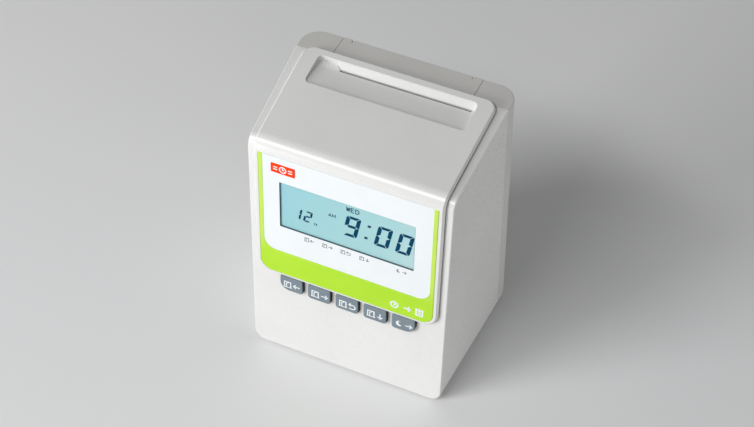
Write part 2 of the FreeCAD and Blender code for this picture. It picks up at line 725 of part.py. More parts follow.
def pinion_centre():
    reach = GEAR_MODULE * (FEED_TEETH + PINION_TEETH) / 2
    return (FEED_Y + reach * math.cos(PINION_DIRECTION), FEED_Z + reach * math.sin(PINION_DIRECTION))


def make_side_frame(side):
    x0, x1 = frame_place(side)
    outline = [V(x0, FRAME_FRONT_Y, FLOOR_Z), V(x0, FRAME_FRONT_Y, 100), V(x0, -20, 118),
               V(x0, -20, 164), V(x0, -6, FRAME_TOP), V(x0, 31.5, FRAME_TOP),
               V(x0, FRAME_REAR_Y, 160), V(x0, FRAME_REAR_Y, FLOOR_Z)]
    plate = slab(outline, [0, 3, 3, 4, 4, 4, 4, 0], V(x1 - x0, 0, 0))
    f0, f1 = sorted((side * (FRAME_X - 9), side * FRAME_X))
    foot = box(f0, f1, FRAME_FRONT_Y, FRAME_REAR_Y, FLOOR_Z, FLOOR_Z + FRAME_THICK)
    plate = join(plate, foot)

    def drill(radius, y, z):
        return rod(radius, V(x0 - 1, y, z), V(x1 + 1, y, z))

    holes = [drill(5.05, FEED_Y, FEED_Z), drill(3.05, PINCH_Y, FEED_Z)]
    holes += [drill(ROD_R + 0.05, y, ROD_Z) for y in ROD_YS]
    if side > 0:
        y, z = pinion_centre()
        holes.append(drill(5.5, y, z))
    window = [V(x0 - 1, -14, 18), V(x0 - 1, -14, 78), V(x0 - 1, 14, 78), V(x0 - 1, 14, 18)]
    holes.append(slab(window, [6] * 4, V(FRAME_THICK + 2, 0, 0)))
    for hole in holes:
        plate = plate.cut(hole)
    screw_x = side * FRAME_SCREW_X
    for y in FRAME_SCREW_YS:
        plate = plate.cut(rod(1.4, V(screw_x, y, 0), V(screw_x, y, 20)))
    return plate


def make_frame_screws():
    screws = []
    top = FLOOR_Z + FRAME_THICK
    for side in (-1, 1):
        for y in FRAME_SCREW_YS:
            x = side * FRAME_SCREW_X
            head = rod(2.5, V(x, y, top), V(x, y, top + 1.8))
            shank = rod(1.2, V(x, y, FLOOR_Z), V(x, y, top))
            slot = box(x - 1.7, x + 1.7, y - 0.3, y + 0.3, top + 1.1, top + 2)
            screws.append(join(head, shank).cut(slot))
    return group(screws)


def roller_windows(y0, y1, half_height):
    return [box(x - ROLLER_WIDTH / 2 - 1.2, x + ROLLER_WIDTH / 2 + 1.2, y0, y1,
                FEED_Z - half_height, FEED_Z + half_height) for x in ROLLER_XS]


def make_rear_card_guide():
    y0 = CARD_Y + GUIDE_GAP
    y1 = y0 + GUIDE_THICK
    plate = box(-FRAME_X, FRAME_X, y0, y1, GUIDE_LOW, GUIDE_TOP)
    left, right = -40.0, 52.5
    rails = [box(x0, x1, CARD_Y - GUIDE_GAP, y0, GUIDE_LOW, GUIDE_TOP)
             for x0, x1 in ((left, SLOT_LEFT - 0.5), (SLOT_RIGHT + 0.5, right))]
    stop = box(left, right, CARD_Y - GUIDE_GAP, y0, GUIDE_LOW, GUIDE_LOW + 3)
    guide = join(plate, *rails, stop)
    for window in roller_windows(y0 - 1, y1 + 1, PINCH_ROLLER_R + 1):
        guide = guide.cut(window)
    platen_room = box(SLOT_LEFT - 0.2, SLOT_RIGHT + 0.2, y0 - 0.5, y1 + 1, PRINT_Z - 6.5, PRINT_Z + 6.5)
    guide = guide.cut(platen_room)
    for x in SENSOR_XS:
        guide = guide.cut(rod(1.5, V(x, y0 - 1, SENSOR_Z), V(x, y1 + 1, SENSOR_Z)))
    cut_corner = box(40, FRAME_X + 1, y0 - 5, y1 + 5, FRAME_TOP, GUIDE_TOP + 2)
    return guide.cut(cut_corner).cut(cut_corner.mirror(V(0, 0, 0), X_AXIS))


def make_lower_card_guide():
    y1 = CARD_Y - GUIDE_GAP
    plate = box(-FRAME_X, FRAME_X, y1 - GUIDE_THICK, y1, GUIDE_LOW, PRINT_Z - 9)
    for window in roller_windows(y1 - 3, y1 + 1, FEED_ROLLER_R + 1):
        plate = plate.cut(window)
    for x in range(-28, 45, 12):
        plate = plate.cut(box(x - 3.5, x + 3.5, y1 - 3, y1 + 1, 30, 90))
    return plate


def make_upper_card_guide():
    y1 = CARD_Y - GUIDE_GAP
    y0 = y1 - GUIDE_THICK
    plate = box(-FRAME_X, FRAME_X, y0, y1, PRINT_Z + 9, 170)
    neck = box(SLOT_LEFT - 2.7, SLOT_RIGHT + 2.7, y0, y1, 170, GUIDE_TOP - 1)
    return join(plate, neck)


def make_platen():
    return box(SLOT_LEFT, SLOT_RIGHT, CARD_Y + 1.3, CARD_Y + 6.5, PRINT_Z - 6.2, PRINT_Z + 6.2)


def make_card_sensors():
    y = CARD_Y + GUIDE_GAP + GUIDE_THICK
    return group([box(x - 4, x + 4, y, y + 5.5, SENSOR_Z - 5, SENSOR_Z + 5) for x in SENSOR_XS])


# ---------------------------------------------------------------- card feed
def spur_gear(teeth, width, bore, phase):
    """Spur gear on the X axis from x = 0, with a tooth centred on the phase angle."""
    pitch = GEAR_MODULE * teeth / 2
    tip = pitch + 0.75 * GEAR_MODULE
    root = pitch - 1.1 * GEAR_MODULE
    step = 2 * math.pi / teeth
    points = []
    for k in range(teeth):
        centre = phase + k * step
        for radius, spread in ((root, -0.31), (tip, -0.13), (tip, 0.13), (root, 0.31)):
            angle = centre + spread * step
            points.append(V(0, radius * math.cos(angle), radius * math.sin(angle)))
    points.append(points[0])
    gear = Part.Face(Part.makePolygon(points)).extrude(V(width, 0, 0))
    return gear.cut(rod(bore, V(-1, 0, 0), V(width + 1, 0, 0)))


def make_feed_shaft():
    return rod(SHAFT_R, V(-FRAME_X - 2.5, FEED_Y, FEED_Z), V(GEAR_X + GEAR_WIDTH + 0.6, FEED_Y, FEED_Z))


def roller_set(radius, bore, y):
    rollers = []
    for x in ROLLER_XS:
        start = V(x - ROLLER_WIDTH / 2, y, FEED_Z)
        end = V(x + ROLLER_WIDTH / 2, y, FEED_Z)
        rollers.append(tube(radius, bore, start, end))
    return group(rollers)


def make_feed_gear():
    gear = spur_gear(FEED_TEETH, GEAR_WIDTH, SHAFT_R + 0.02, PINION_DIRECTION)
    for k in range(5):
        angle = 2 * math.pi * k / 5
        y = 8.5 * math.cos(angle)
        z = 8.5 * math.sin(angle)
        gear = gear.cut(rod(2.4, V(-1, y, z), V(GEAR_WIDTH + 1, y, z)))
    gear.translate(V(GEAR_X, FEED_Y, FEED_Z))
    return gear


def make_feed_pinion():
    half_step = math.pi / PINION_TEETH
    gear = spur_gear(PINION_TEETH, GEAR_WIDTH, 1.2, PINION_DIRECTION + math.pi + half_step)
    y, z = pinion_centre()
    gear.translate(V(GEAR_X, y, z))
    return join(gear, rod(1.5, V(51, y, z), V(GEAR_X + GEAR_WIDTH, y, z)))


def make_feed_motor():
    y, z = pinion_centre()
    can = rod(12.0, V(38.5, y, z), V(56.2, y, z))
    flange = rod(12.6, V(56.2, y, z), V(FRAME_X, y, z))
    motor = join(can, flange)
    motor = motor.cut(rod(1.6, V(50.5, y, z), V(FRAME_X + 1, y, z)))
    plug = box(40, 50, y - 15.5, y - 11.5, z - 3, z + 3)
    return join(motor, plug)


def make_shaft_bushes():
    bushes = []
    for side in (-1, 1):
        x0, x1 = frame_place(side)
        for y, outer, inner in ((FEED_Y, 5.0, SHAFT_R), (PINCH_Y, 3.0, 2.0)):
            bushes.append(tube(outer, inner + 0.06, V(x0, y, FEED_Z), V(x1, y, FEED_Z)))
    return group(bushes)


def make_pinch_shaft():
    reach = FRAME_X + FRAME_THICK + 0.8
    return rod(2.0, V(-reach, PINCH_Y, FEED_Z), V(reach, PINCH_Y, FEED_Z))


# ---------------------------------------------------------------- printer
def make_guide_rods():
    reach = FRAME_X + FRAME_THICK
    return group([rod(ROD_R, V(-reach, y, ROD_Z), V(reach, y, ROD_Z)) for y in ROD_YS])


def make_print_carriage():
    x0 = CARRIAGE_HOME_X - CARRIAGE_HALF
    x1 = CARRIAGE_HOME_X + CARRIAGE_HALF
    body = box(x0, x1, -8, 20, 121, 132)
    for y in ROD_YS:
        body = body.cut(rod(ROD_R + 0.05, V(x0 - 1, y, ROD_Z), V(x1 + 1, y, ROD_Z)))
    arm_x0 = CARRIAGE_HOME_X - 5
    arm_x1 = CARRIAGE_HOME_X + 5
    arm = box(arm_x0, arm_x1, BELT_Y - 0.5, -8, 127, 132)
    belt_low = PULLEY_Z - PULLEY_R - BELT_THICK
    clamp = box(arm_x0, arm_x1, BELT_Y - 0.5, BELT_Y + BELT_WIDTH + 0.5, 127, belt_low - 0.3)
    return join(body, arm, clamp)


def make_print_head():
    x = CARRIAGE_HOME_X
    coil_block = box(x - 9, x + 9, -7, 13, 132, 149.5)
    nose = [V(x - 5, 13, 137.5), V(x - 5, 13, 149.5), V(x - 5, 23.4, 147.5), V(x - 5, 23.4, 140.5)]
    head = join(coil_block, slab(nose, [0] * 4, V(10, 0, 0)))
    for i in range(6):
        y = -5.5 + 3.1 * i
        head = head.cut(box(x - 10, x + 10, y, y + 1.5, 144.5, 150))
    return head


def make_belt_pulley(side):
    x = side * PULLEY_X
    y0 = BELT_Y
    y1 = BELT_Y + BELT_WIDTH
    drum = rod(PULLEY_R - 0.3, V(x, y0, PULLEY_Z), V(x, y1, PULLEY_Z))
    rims = [rod(PULLEY_R + 0.7, V(x, y, PULLEY_Z), V(x, y + 0.8, PULLEY_Z))
            for y in (y0 - 1.0, y1 + 0.2)]
    stub = rod(1.5, V(x, y0 - 5, PULLEY_Z), V(x, y1 + 2, PULLEY_Z))
    collar = rod(PULLEY_R - 0.3, V(x, y0 - 0.2, PULLEY_Z), V(x, y1 + 0.2, PULLEY_Z))
    return join(drum, collar, stub, *rims)


def make_drive_belt():
    def loop(radius):
        corners = [V(-PULLEY_X - radius, BELT_Y, PULLEY_Z - radius),
                   V(PULLEY_X + radius, BELT_Y, PULLEY_Z - radius),
                   V(PULLEY_X + radius, BELT_Y, PULLEY_Z + radius),
                   V(-PULLEY_X - radius, BELT_Y, PULLEY_Z + radius)]
        return slab(corners, [radius - 0.001] * 4, V(0, BELT_WIDTH, 0))
    return loop(PULLEY_R + BELT_THICK).cut(loop(PULLEY_R))


def make_carriage_motor():
    x = -PULLEY_X
    y1 = BELT_Y - 1.8
    can = rod(9.0, V(x, -31, PULLEY_Z), V(x, y1 - 1.4, PULLEY_Z))
    flange = box(-FRAME_X, x + 12, y1 - 1.4, y1, PULLEY_Z - 9, PULLEY_Z + 9)
    motor = join(can, flange)
    motor = motor.cut(rod(1.6, V(x, BELT_Y - 6, PULLEY_Z), V(x, y1 + 1, PULLEY_Z)))
    return motor


def make_idler_bracket():
    x = PULLEY_X
    y1 = BELT_Y - 1.8
    plate = box(x - 7, FRAME_X, y1 - 2, y1, PULLEY_Z - 7, PULLEY_Z + 7)
    boss = rod(3.5, V(x, y1 - 5, PULLEY_Z), V(x, y1 - 2, PULLEY_Z))
    bracket = join(plate, boss)
    return bracket.cut(rod(1.6, V(x, BELT_Y - 6, PULLEY_Z), V(x, y1 + 1, PULLEY_Z)))


# ---------------------------------------------------------------- ribbon cassette
def make_ribbon_cassette():
    case = box(CASSETTE_LEFT, CASSETTE_RIGHT, CASSETTE_FRONT_Y, CASSETTE_REAR_Y,
               CASSETTE_LOW, CASSETTE_HIGH - 1.2)
    hollow = box(CASSETTE_LEFT + 1.2, CASSETTE_RIGHT - 1.2, CASSETTE_FRONT_Y + 1.2,
                 CASSETTE_REAR_Y - 1.2, CASSETTE_LOW + 1.2, CASSETTE_HIGH)
    case = case.cut(hollow)
    arms = [box(x0, x1, 16, CASSETTE_REAR_Y, PRINT_Z - 7, CASSETTE_LOW)
            for x0, x1 in ((CASSETTE_LEFT, CASSETTE_LEFT + 5), (CASSETTE_RIGHT - 5, CASSETTE_RIGHT))]
    posts = [rod(2.0, V(x, SPOOL_Y, CASSETTE_LOW + 1), V(x, SPOOL_Y, CASSETTE_HIGH - 2.4))
             for x in SPOOL_XS]
    return join(case, *arms, *posts)


def make_cassette_lid():
    lid = box(CASSETTE_LEFT, CASSETTE_RIGHT, CASSETTE_FRONT_Y, CASSETTE_REAR_Y,
              CASSETTE_HIGH - 1.2, CASSETTE_HIGH)
    grip = box(-4, 13, CASSETTE_FRONT_Y + 2, CASSETTE_FRONT_Y + 4, CASSETTE_HIGH, CASSETTE_HIGH + 5)
    return join(lid, grip)


def make_ribbon_spool(x):
    low = CASSETTE_LOW + 1.5
    high = CASSETTE_HIGH - 1.6
    reel = tube(SPOOL_R, 2.06, V(x, SPOOL_Y, low), V(x, SPOOL_Y, high - 1))
    hub = tube(4.5, 2.06, V(x, SPOOL_Y, low), V(x, SPOOL_Y, high - 0.9))
    return join(reel, hub)


def make_inked_ribbon():
    y = CASSETTE_REAR_Y + 0.55
    return box(CASSETTE_LEFT, CASSETTE_RIGHT, y, y + 0.25, PRINT_Z - 6, PRINT_Z + 6)


# ---------------------------------------------------------------- electronics
def board_holes():
    return [(x, z) for x in (-BOARD_HALF + 4, BOARD_HALF - 4) for z in (BOARD_LOW + 4, BOARD_HIGH - 4)]


def make_main_board():
    board = box(-BOARD_HALF, BOARD_HALF, BOARD_Y, BOARD_Y + BOARD_THICK, BOARD_LOW, BOARD_HIGH)
    for x, z in board_holes():
        board = board.cut(rod(1.7, V(x, 40, z), V(x, 60, z)))
    return board


def make_board_spacers():
    y0 = BOARD_Y + BOARD_THICK
    return group([tube(3.2, 1.7, V(x, y0, z), V(x, DEPTH / 2 - WALL, z)) for x, z in board_holes()])


def make_board_screws():
    screws = []
    for x, z in board_holes():
        head = rod(2.8, V(x, BOARD_Y - 1.9, z), V(x, BOARD_Y, z))
        shank = rod(1.5, V(x, BOARD_Y, z), V(x, DEPTH / 2 - WALL, z))
        slot = box(x - 1.8, x + 1.8, BOARD_Y - 2.3, BOARD_Y - 1.2, z - 0.3, z + 0.3)
        screws.append(join(head, shank).cut(slot))
    return group(screws)


def make_board_components():
    face = BOARD_Y
    parts = [
        box(-10, 6, face - 1.8, face, 92, 108),
        box(14, 26, face - 1.4, face, 94, 104),
        box(-34, -22, face - 1.6, face, 96, 106),
        box(-36, -12, face - 5.0, face, 48, 54),
        box(4, 30, face - 5.0, face, 48, 54),
        box(20, 40, face - 3.0, face, 130, 146),
        box(-40, -28, face - 4.0, face, 120, 134),
    ]
    for x in (-20, -8, 4):
        parts.append(rod(4.0, V(x, face - 5.0, 72), V(x, face, 72)))
    parts.append(rod(5.5, V(0, face - 3.5, 138), V(0, face, 138)))
    return group(parts)


def make_backup_battery():
    cells = []
    for i in range(CELL_COUNT):
        z = FLOOR_Z + CELL_R + 1 + CELL_PITCH * i
        cells.append(rod(CELL_R, V(-36, 42.2, z), V(8, 42.2, z)))
    return group(cells)


def make_battery_holder():
    holder = box(-38.5, 10.5, 36.6, 48.2, FLOOR_Z, FLOOR_Z + 33.2)
    room = box(-36.3, 8.3, 35, 47.6, FLOOR_Z + 0.8, FLOOR_Z + 34)
    return holder.cut(room)


def make_dc_jack():
    body = box(JACK_X - 4.8, JACK_X + 4.8, 38.5, DEPTH / 2 - WALL, JACK_Z - 5.5, JACK_Z + 5.5)
    collar = rod(4.3, V(JACK_X, DEPTH / 2 - WALL, JACK_Z), V(JACK_X, DEPTH / 2 - 0.4, JACK_Z))
    jack = join(body, collar)
    jack = jack.cut(rod(2.9, V(JACK_X, DEPTH / 2 - 10, JACK_Z), V(JACK_X, DEPTH, JACK_Z)))
    pin = rod(0.95, V(JACK_X, DEPTH / 2 - 11, JACK_Z), V(JACK_X, DEPTH / 2 - 1.5, JACK_Z))
    stand = box(JACK_X - 4, JACK_X + 4, 40.6, 46, FLOOR_Z, JACK_Z - 5.5)
    return join(jack, pin, stand)


def make_speaker():
    y1 = DEPTH / 2 - WALL
    cone = rod(11.5, V(SPEAKER_X, y1 - 2.5, SPEAKER_Z), V(SPEAKER_X, y1, SPEAKER_Z))
    magnet = rod(6.5, V(SPEAKER_X, y1 - 6.5, SPEAKER_Z), V(SPEAKER_X, y1 - 2.5, SPEAKER_Z))
    return join(cone, magnet)


# ---------------------------------------------------------------- all nodes
def all_nodes():
    nodes = {
        "main_housing": make_main_housing(),
        "rear_housing": make_rear_housing(),
        "base_plate": make_base_plate(),
        "rubber_feet": make_rubber_feet(),
        "base_screws": make_base_screws(),
        "hood": make_hood(),
        "hinge_leaf": make_hinge_leaf(),
        "hinge_pins": make_hinge_pins(),
        "leaf_screws": make_leaf_screws(),
        "green_trim": make_green_trim(),
        "window_panel": make_window_panel(),
        "badge_plate": make_badge_plate(),
        "lcd_glass": make_lcd_glass(),
        "lcd_backlight": make_lcd_backlight(),
        "display_board": make_display_board(),
        "display_screws": make_display_screws(),
        "key_board": make_key_board(),
        "tact_switches": make_tact_switches(),
        "left_frame": make_side_frame(-1),
        "right_frame": make_side_frame(1),
        "frame_screws": make_frame_screws(),
        "rear_card_guide": make_rear_card_guide(),
        "lower_card_guide": make_lower_card_guide(),
        "upper_card_guide": make_upper_card_guide(),
        "platen": make_platen(),
        "card_sensors": make_card_sensors(),
        "shaft_bushes": make_shaft_bushes(),
        "feed_shaft": make_feed_shaft(),
        "feed_rollers": roller_set(FEED_ROLLER_R, SHAFT_R + 0.02, FEED_Y),
        "feed_gear": make_feed_gear(),
        "feed_pinion": make_feed_pinion(),
        "feed_motor": make_feed_motor(),
        "pinch_shaft": make_pinch_shaft(),
        "pinch_rollers": roller_set(PINCH_ROLLER_R, 2.02, PINCH_Y),
        "guide_rods": make_guide_rods(),
        "print_carriage": make_print_carriage(),
        "print_head": make_print_head(),
        "drive_pulley": make_belt_pulley(-1),
        "idler_pulley": make_belt_pulley(1),
        "drive_belt": make_drive_belt(),
        "carriage_motor": make_carriage_motor(),
        "idler_bracket": make_idler_bracket(),
        "ribbon_cassette": make_ribbon_cassette(),
        "cassette_lid": make_cassette_lid(),
        "left_ribbon_spool": make_ribbon_spool(SPOOL_XS[0]),
        "right_ribbon_spool": make_ribbon_spool(SPOOL_XS[1]),
        "inked_ribbon": make_inked_ribbon(),
        "main_board": make_main_board(),
        "board_components": make_board_components(),
        "board_spacers": make_board_spacers(),
        "board_screws": make_board_screws(),
        "backup_battery": make_backup_battery(),
        "battery_holder": make_battery_holder(),
        "dc_jack": make_dc_jack(),
        "speaker": make_speaker(),
    }
    for index in range(KEY_COUNT):
        nodes["key_%d" % (index + 1)] = make_key(index)
    return nodes


def main():
    os.makedirs("parts", exist_ok=True)
    for name, shape in all_nodes().items():
        if not shape.isValid():
            print("invalid", name)
        shape.exportStep("parts/%s.step" % name)
        print(name, len(shape.Solids), round(shape.Volume, 1))


main()
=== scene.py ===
import bmesh
import bpy
import json
import math
from mathutils import Matrix, Vector


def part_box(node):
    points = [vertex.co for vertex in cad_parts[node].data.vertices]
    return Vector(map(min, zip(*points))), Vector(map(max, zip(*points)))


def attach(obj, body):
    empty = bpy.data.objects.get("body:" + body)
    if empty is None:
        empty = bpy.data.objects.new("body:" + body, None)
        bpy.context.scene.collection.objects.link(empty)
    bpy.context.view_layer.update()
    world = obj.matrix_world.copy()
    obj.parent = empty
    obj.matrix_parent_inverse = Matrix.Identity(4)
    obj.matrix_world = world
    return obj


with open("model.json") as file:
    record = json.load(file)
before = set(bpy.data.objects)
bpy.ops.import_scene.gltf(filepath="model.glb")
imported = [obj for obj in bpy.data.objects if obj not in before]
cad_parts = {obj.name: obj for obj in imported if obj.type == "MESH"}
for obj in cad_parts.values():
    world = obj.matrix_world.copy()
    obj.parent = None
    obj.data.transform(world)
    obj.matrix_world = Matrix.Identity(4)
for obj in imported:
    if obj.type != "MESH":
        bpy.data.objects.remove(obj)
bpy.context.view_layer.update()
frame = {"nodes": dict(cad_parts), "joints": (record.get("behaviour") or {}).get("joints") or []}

MM = 0.001
NODES = frame["nodes"]
RIGHT = Vector((1, 0, 0))
UP = Vector((0, 0, 1))
BACK = Vector((0, 1, 0))

# the keys slide straight into the leaning front, so their axis is the front's inward normal
INWARD = Vector(next(j["axis"] for j in frame["joints"] if j["name"] == "key_1_press"))
LEAN_UP = RIGHT.cross(INWARD)
KEYS = [f"key_{i}" for i in range(1, 6)]

INK = (0, 64, 96)
PLASTIC_IOR = 1.46
TOP_SLOPE = math.radians(9.3)      # of the casing's top
BEND_R = 8.0                       # between the casing's front and its top, mm
CASING_DEPTH = 107.0
HOOD_HALF_FRONT = 61.9             # half the hood's width at the casing's front and back, mm
HOOD_HALF_REAR = 64.6
WINDOW_WIDTH = 89.8                # the cut-out in front of the display, mm
WINDOW_HEIGHT = 36.6
GAP_SHADE_CORNER_R = 9.7
GAP_SHADE_REAR_END = 33.0               # depth at which the painted gap shade's sides end
SIGN_LINE = 0.72                   # stroke of the pictograms
PIN_PITCH = 1.27                   # of the chips' legs, mm
PAD_PITCH = 2.54                   # of the solder pads behind them


# ---------------------------------------------------------------- places
class Face:
    """A flat face of the clock: a corner and its right, up and out directions. Lengths in mm."""

    def __init__(self, corner, right, up, out):
        self.corner, self.right, self.up, self.out = corner, right, up, out

    def at(self, u, v, lift=0.0):
        """The point at u and v, standing lift above the face."""
        return self.corner + (self.right * u + self.up * v + self.out * lift) * MM

    def place(self, point):
        """The u and v of a point in space."""
        return (point - self.corner).dot(self.right) / MM, (point - self.corner).dot(self.up) / MM


def face_of(node, up, out):
    """The flat face of a CAD node on one side, from its lower left corner seen from outside."""
    right = up.cross(out)
    points = [v.co for v in NODES[node].data.vertices]
    corner = (right * min(p.dot(right) for p in points) + up * min(p.dot(up) for p in points)
              + out * max(p.dot(out) for p in points))
    return Face(corner, right, up, out)


def leaning_face(node):
    """The leaning front face of a CAD node."""
    return face_of(node, LEAN_UP, -INWARD)


def half_width(node):
    """Half a node's width, in mm."""
    low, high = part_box(node)
    return (high.x - low.x) / 2 / MM


def lumps(node):
    """Middle and size of each separate lump of a CAD node's mesh, in the mesh's own order."""
    bm = bmesh.new()
    bm.from_mesh(NODES[node].data)
    bmesh.ops.remove_doubles(bm, verts=bm.verts[:], dist=MM / 500)
    seen = set()
    found = []
    for start in bm.verts:
        if start.index in seen:
            continue
        seen.add(start.index)
        group = [start]
        for vert in group:
            for edge in vert.link_edges:
                other = edge.other_vert(vert)
                if other.index not in seen:
                    seen.add(other.index)
                    group.append(other)
        low = Vector([min(v.co[i] for v in group) for i in range(3)])
        high = Vector([max(v.co[i] for v in group) for i in range(3)])
        found.append(((low + high) / 2, (high - low) / MM))
    bm.free()
    return found


# ---------------------------------------------------------------- 2-D shapes, points in mm
def arc(cx, cy, radius, start, end, steps=16):
    """Points on an arc, angles in degrees."""
    angles = [math.radians(start + (end - start) * i / steps) for i in range(steps + 1)]
    return [(cx + radius * math.cos(a), cy + radius * math.sin(a)) for a in angles]


def rect(x0, y0, x1, y1):
    return [(x0, y0), (x1, y0), (x1, y1), (x0, y1)]


def ribbon(points, width, closed=False):
    """Quads of a mitred line of that width through the points."""
    path = [Vector(p) for p in points]
    count = len(path)
    sides = []
    for i, p in enumerate(path):
        before = path[i - 1] if closed or i > 0 else None
        after = path[(i + 1) % count] if closed or i < count - 1 else None
        a = (p - before).normalized() if before is not None else (after - p).normalized()
        b = (after - p).normalized() if after is not None else a
        normal = Vector((-(a + b).y, (a + b).x)).normalized()
        reach = min(2.0, 1 / max(0.2, normal.dot(Vector((-a.y, a.x))))) * width / 2
        sides.append((p + normal * reach, p - normal * reach))
    last = count if closed else count - 1
    return [[sides[i][0], sides[i][1], sides[(i + 1) % count][1], sides[(i + 1) % count][0]]
            for i in range(last)]


def dots(places, radius, steps=12):
    return [arc(x, y, radius, 0, 360 - 360 / steps, steps - 1) for x, y in places]


def moved(polygons, dx, dy, scale=1.0):
    return [[(x * scale + dx, y * scale + dy) for x, y in polygon] for polygon in polygons]


# ---------------------------------------------------------------- mesh pieces
def mesh_piece(name, bm, body, material, smooth=False):
    """Makes an object of a bmesh, gives it its material, and rides it on a body."""
    bmesh.ops.recalc_face_normals(bm, faces=bm.faces[:])
    mesh = bpy.data.meshes.new(name)
    bm.to_mesh(mesh)
    bm.free()
    piece = bpy.data.objects.new(name, mesh)
    bpy.context.scene.collection.objects.link(piece)
    mesh.materials.append(material)
    if smooth:
        mesh.polygons.foreach_set("use_smooth", [True] * len(mesh.polygons))
    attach(piece, body)
    return piece


def flat_mark(name, face, polygons, lift, thick, body, material):
    """Thin closed plates in the shape of the polygons, whose tops stand lift above a face."""
    bm = bmesh.new()
    for polygon in polygons:
        bm.faces.new([bm.verts.new(face.at(x, y, lift)) for x, y in polygon])
    bmesh.ops.remove_doubles(bm, verts=bm.verts[:], dist=MM / 500)
    made = bmesh.ops.extrude_face_region(bm, geom=bm.faces[:])
    lowered = [v for v in made["geom"] if isinstance(v, bmesh.types.BMVert)]
    bmesh.ops.translate(bm, verts=lowered, vec=face.out * -thick * MM)
    return mesh_piece(name, bm, body, material)


# ---------------------------------------------------------------- material nodes
def linear(rgb):
    """An 8-bit display colour as the linear colour that a shader takes."""
    def channel(c):
        c /= 255
        return c / 12.92 if c <= 0.04045 else ((c + 0.055) / 1.055) ** 2.4
    return (*[channel(c) for c in rgb], 1.0)


class Shader:
    """A material with its principled shader and the few node patterns used here."""

    def __init__(self, name, roughness, metallic=0.0, coat=0.0, shine=0.5):
        self.material = bpy.data.materials.new(name)
        self.material.use_nodes = True
        self.tree = self.material.node_tree
        self.shader = self.tree.nodes["Principled BSDF"]
        self.set("Roughness", roughness)
        self.set("Metallic", metallic)
        self.set("IOR", PLASTIC_IOR)
        self.set("Specular IOR Level", shine)
        self.set("Coat Weight", coat)
        self.set("Coat Roughness", 0.08)
        self.place = self.node("ShaderNodeTexCoord").outputs["Object"]

    def node(self, kind, **settings):
        made = self.tree.nodes.new(kind)
        for key, value in settings.items():
            setattr(made, key, value)
        return made

    def set(self, socket, value):
        self.shader.inputs[socket].default_value = value

    def join(self, source, target):
        self.tree.links.new(source, target)

    def noise(self, size_mm, detail=2.0, stretch=(1, 1, 1)):
        """Soft noise with lumps of about that size."""
        scaled = self.node("ShaderNodeMapping")
        scaled.inputs["Scale"].default_value = stretch
        self.join(self.place, scaled.inputs["Vector"])
        made = self.node("ShaderNodeTexNoise")
        made.inputs["Scale"].default_value = 1 / (size_mm * MM)
        made.inputs["Detail"].default_value = detail
        self.join(scaled.outputs["Vector"], made.inputs["Vector"])
        return made.outputs["Fac"]

    def along(self, direction, start_mm, end_mm):
        """0 to 1 along a direction of the row frame, between two distances in mm."""
        dot = self.node("ShaderNodeVectorMath", operation="DOT_PRODUCT")
        dot.inputs[1].default_value = direction
        self.join(self.place, dot.inputs[0])
        span = self.node("ShaderNodeMapRange")
        span.inputs["From Min"].default_value = start_mm * MM
        span.inputs["From Max"].default_value = end_mm * MM
        self.join(dot.outputs["Value"], span.inputs["Value"])
        return span.outputs["Result"]

    def flank(self, start, end):
        """0 to 1 as the surface turns from the front or back to the left or right."""
        square = self.node("ShaderNodeVectorMath", operation="MULTIPLY")
        normal = self.node("ShaderNodeTexCoord").outputs["Normal"]
        self.join(normal, square.inputs[0])
        self.join(normal, square.inputs[1])
        parts = self.node("ShaderNodeSeparateXYZ")
        self.join(square.outputs["Vector"], parts.inputs["Vector"])
        return self.span(parts.outputs["X"], 0.0, 1.0, start, end)

    def ramp(self, source, stops):
        """Colours along a value, each stop a position and a display colour."""
        made = self.node("ShaderNodeValToRGB")
        elements = made.color_ramp.elements
        while len(elements) < len(stops):
            elements.new(1.0)
        for element, (position, rgb) in zip(elements, stops):
            element.position = position
            element.color = linear(rgb)
        self.join(source, made.inputs["Fac"])
        return made.outputs["Color"]

    def span(self, source, low, high, start=0.35, end=0.65):
        """Maps the middle of a noise to a range of plain numbers."""
        made = self.node("ShaderNodeMapRange")
        made.inputs["From Min"].default_value = start
        made.inputs["From Max"].default_value = end
        made.inputs["To Min"].default_value = low
        made.inputs["To Max"].default_value = high
        self.join(source, made.inputs["Value"])
        return made.outputs["Result"]

    def mix(self, share, first, second):
        made = self.node("ShaderNodeMix", data_type="RGBA")
        self.join(share, made.inputs["Factor"])
        self.join(first, made.inputs["A"])
        self.join(second, made.inputs["B"])
        return made.outputs["Result"]

    def colour(self, source):
        self.join(source, self.shader.inputs["Base Color"])

    def rough(self, source):
        self.join(source, self.shader.inputs["Roughness"])

    def bump(self, source, depth_mm, strength=1.0):
        made = self.node("ShaderNodeBump")
        made.inputs["Distance"].default_value = depth_mm * MM
        made.inputs["Strength"].default_value = strength
        self.join(source, made.inputs["Height"])
        self.join(made.outputs["Normal"], self.shader.inputs["Normal"])


def shade(rgb, factor):
    return tuple(max(0, min(255, c * factor)) for c in rgb)


# ---------------------------------------------------------------- materials
def moulded(name, rgb, roughness=0.42, grain_mm=0.35, depth_mm=0.012, tone=0.012, shine=0.5):
    """Moulded plastic: faint clouds of tone and a fine spark-eroded grain."""
    s = Shader(name, roughness, shine=shine)
    clouds = s.noise(45, detail=3.0)
    s.colour(s.ramp(clouds, [(0.3, shade(rgb, 1 - tone)), (0.7, shade(rgb, 1 + tone))]))
    grain = s.noise(grain_mm)
    s.rough(s.span(grain, roughness - 0.05, roughness + 0.05))
    s.bump(grain, depth_mm)
    return s.material


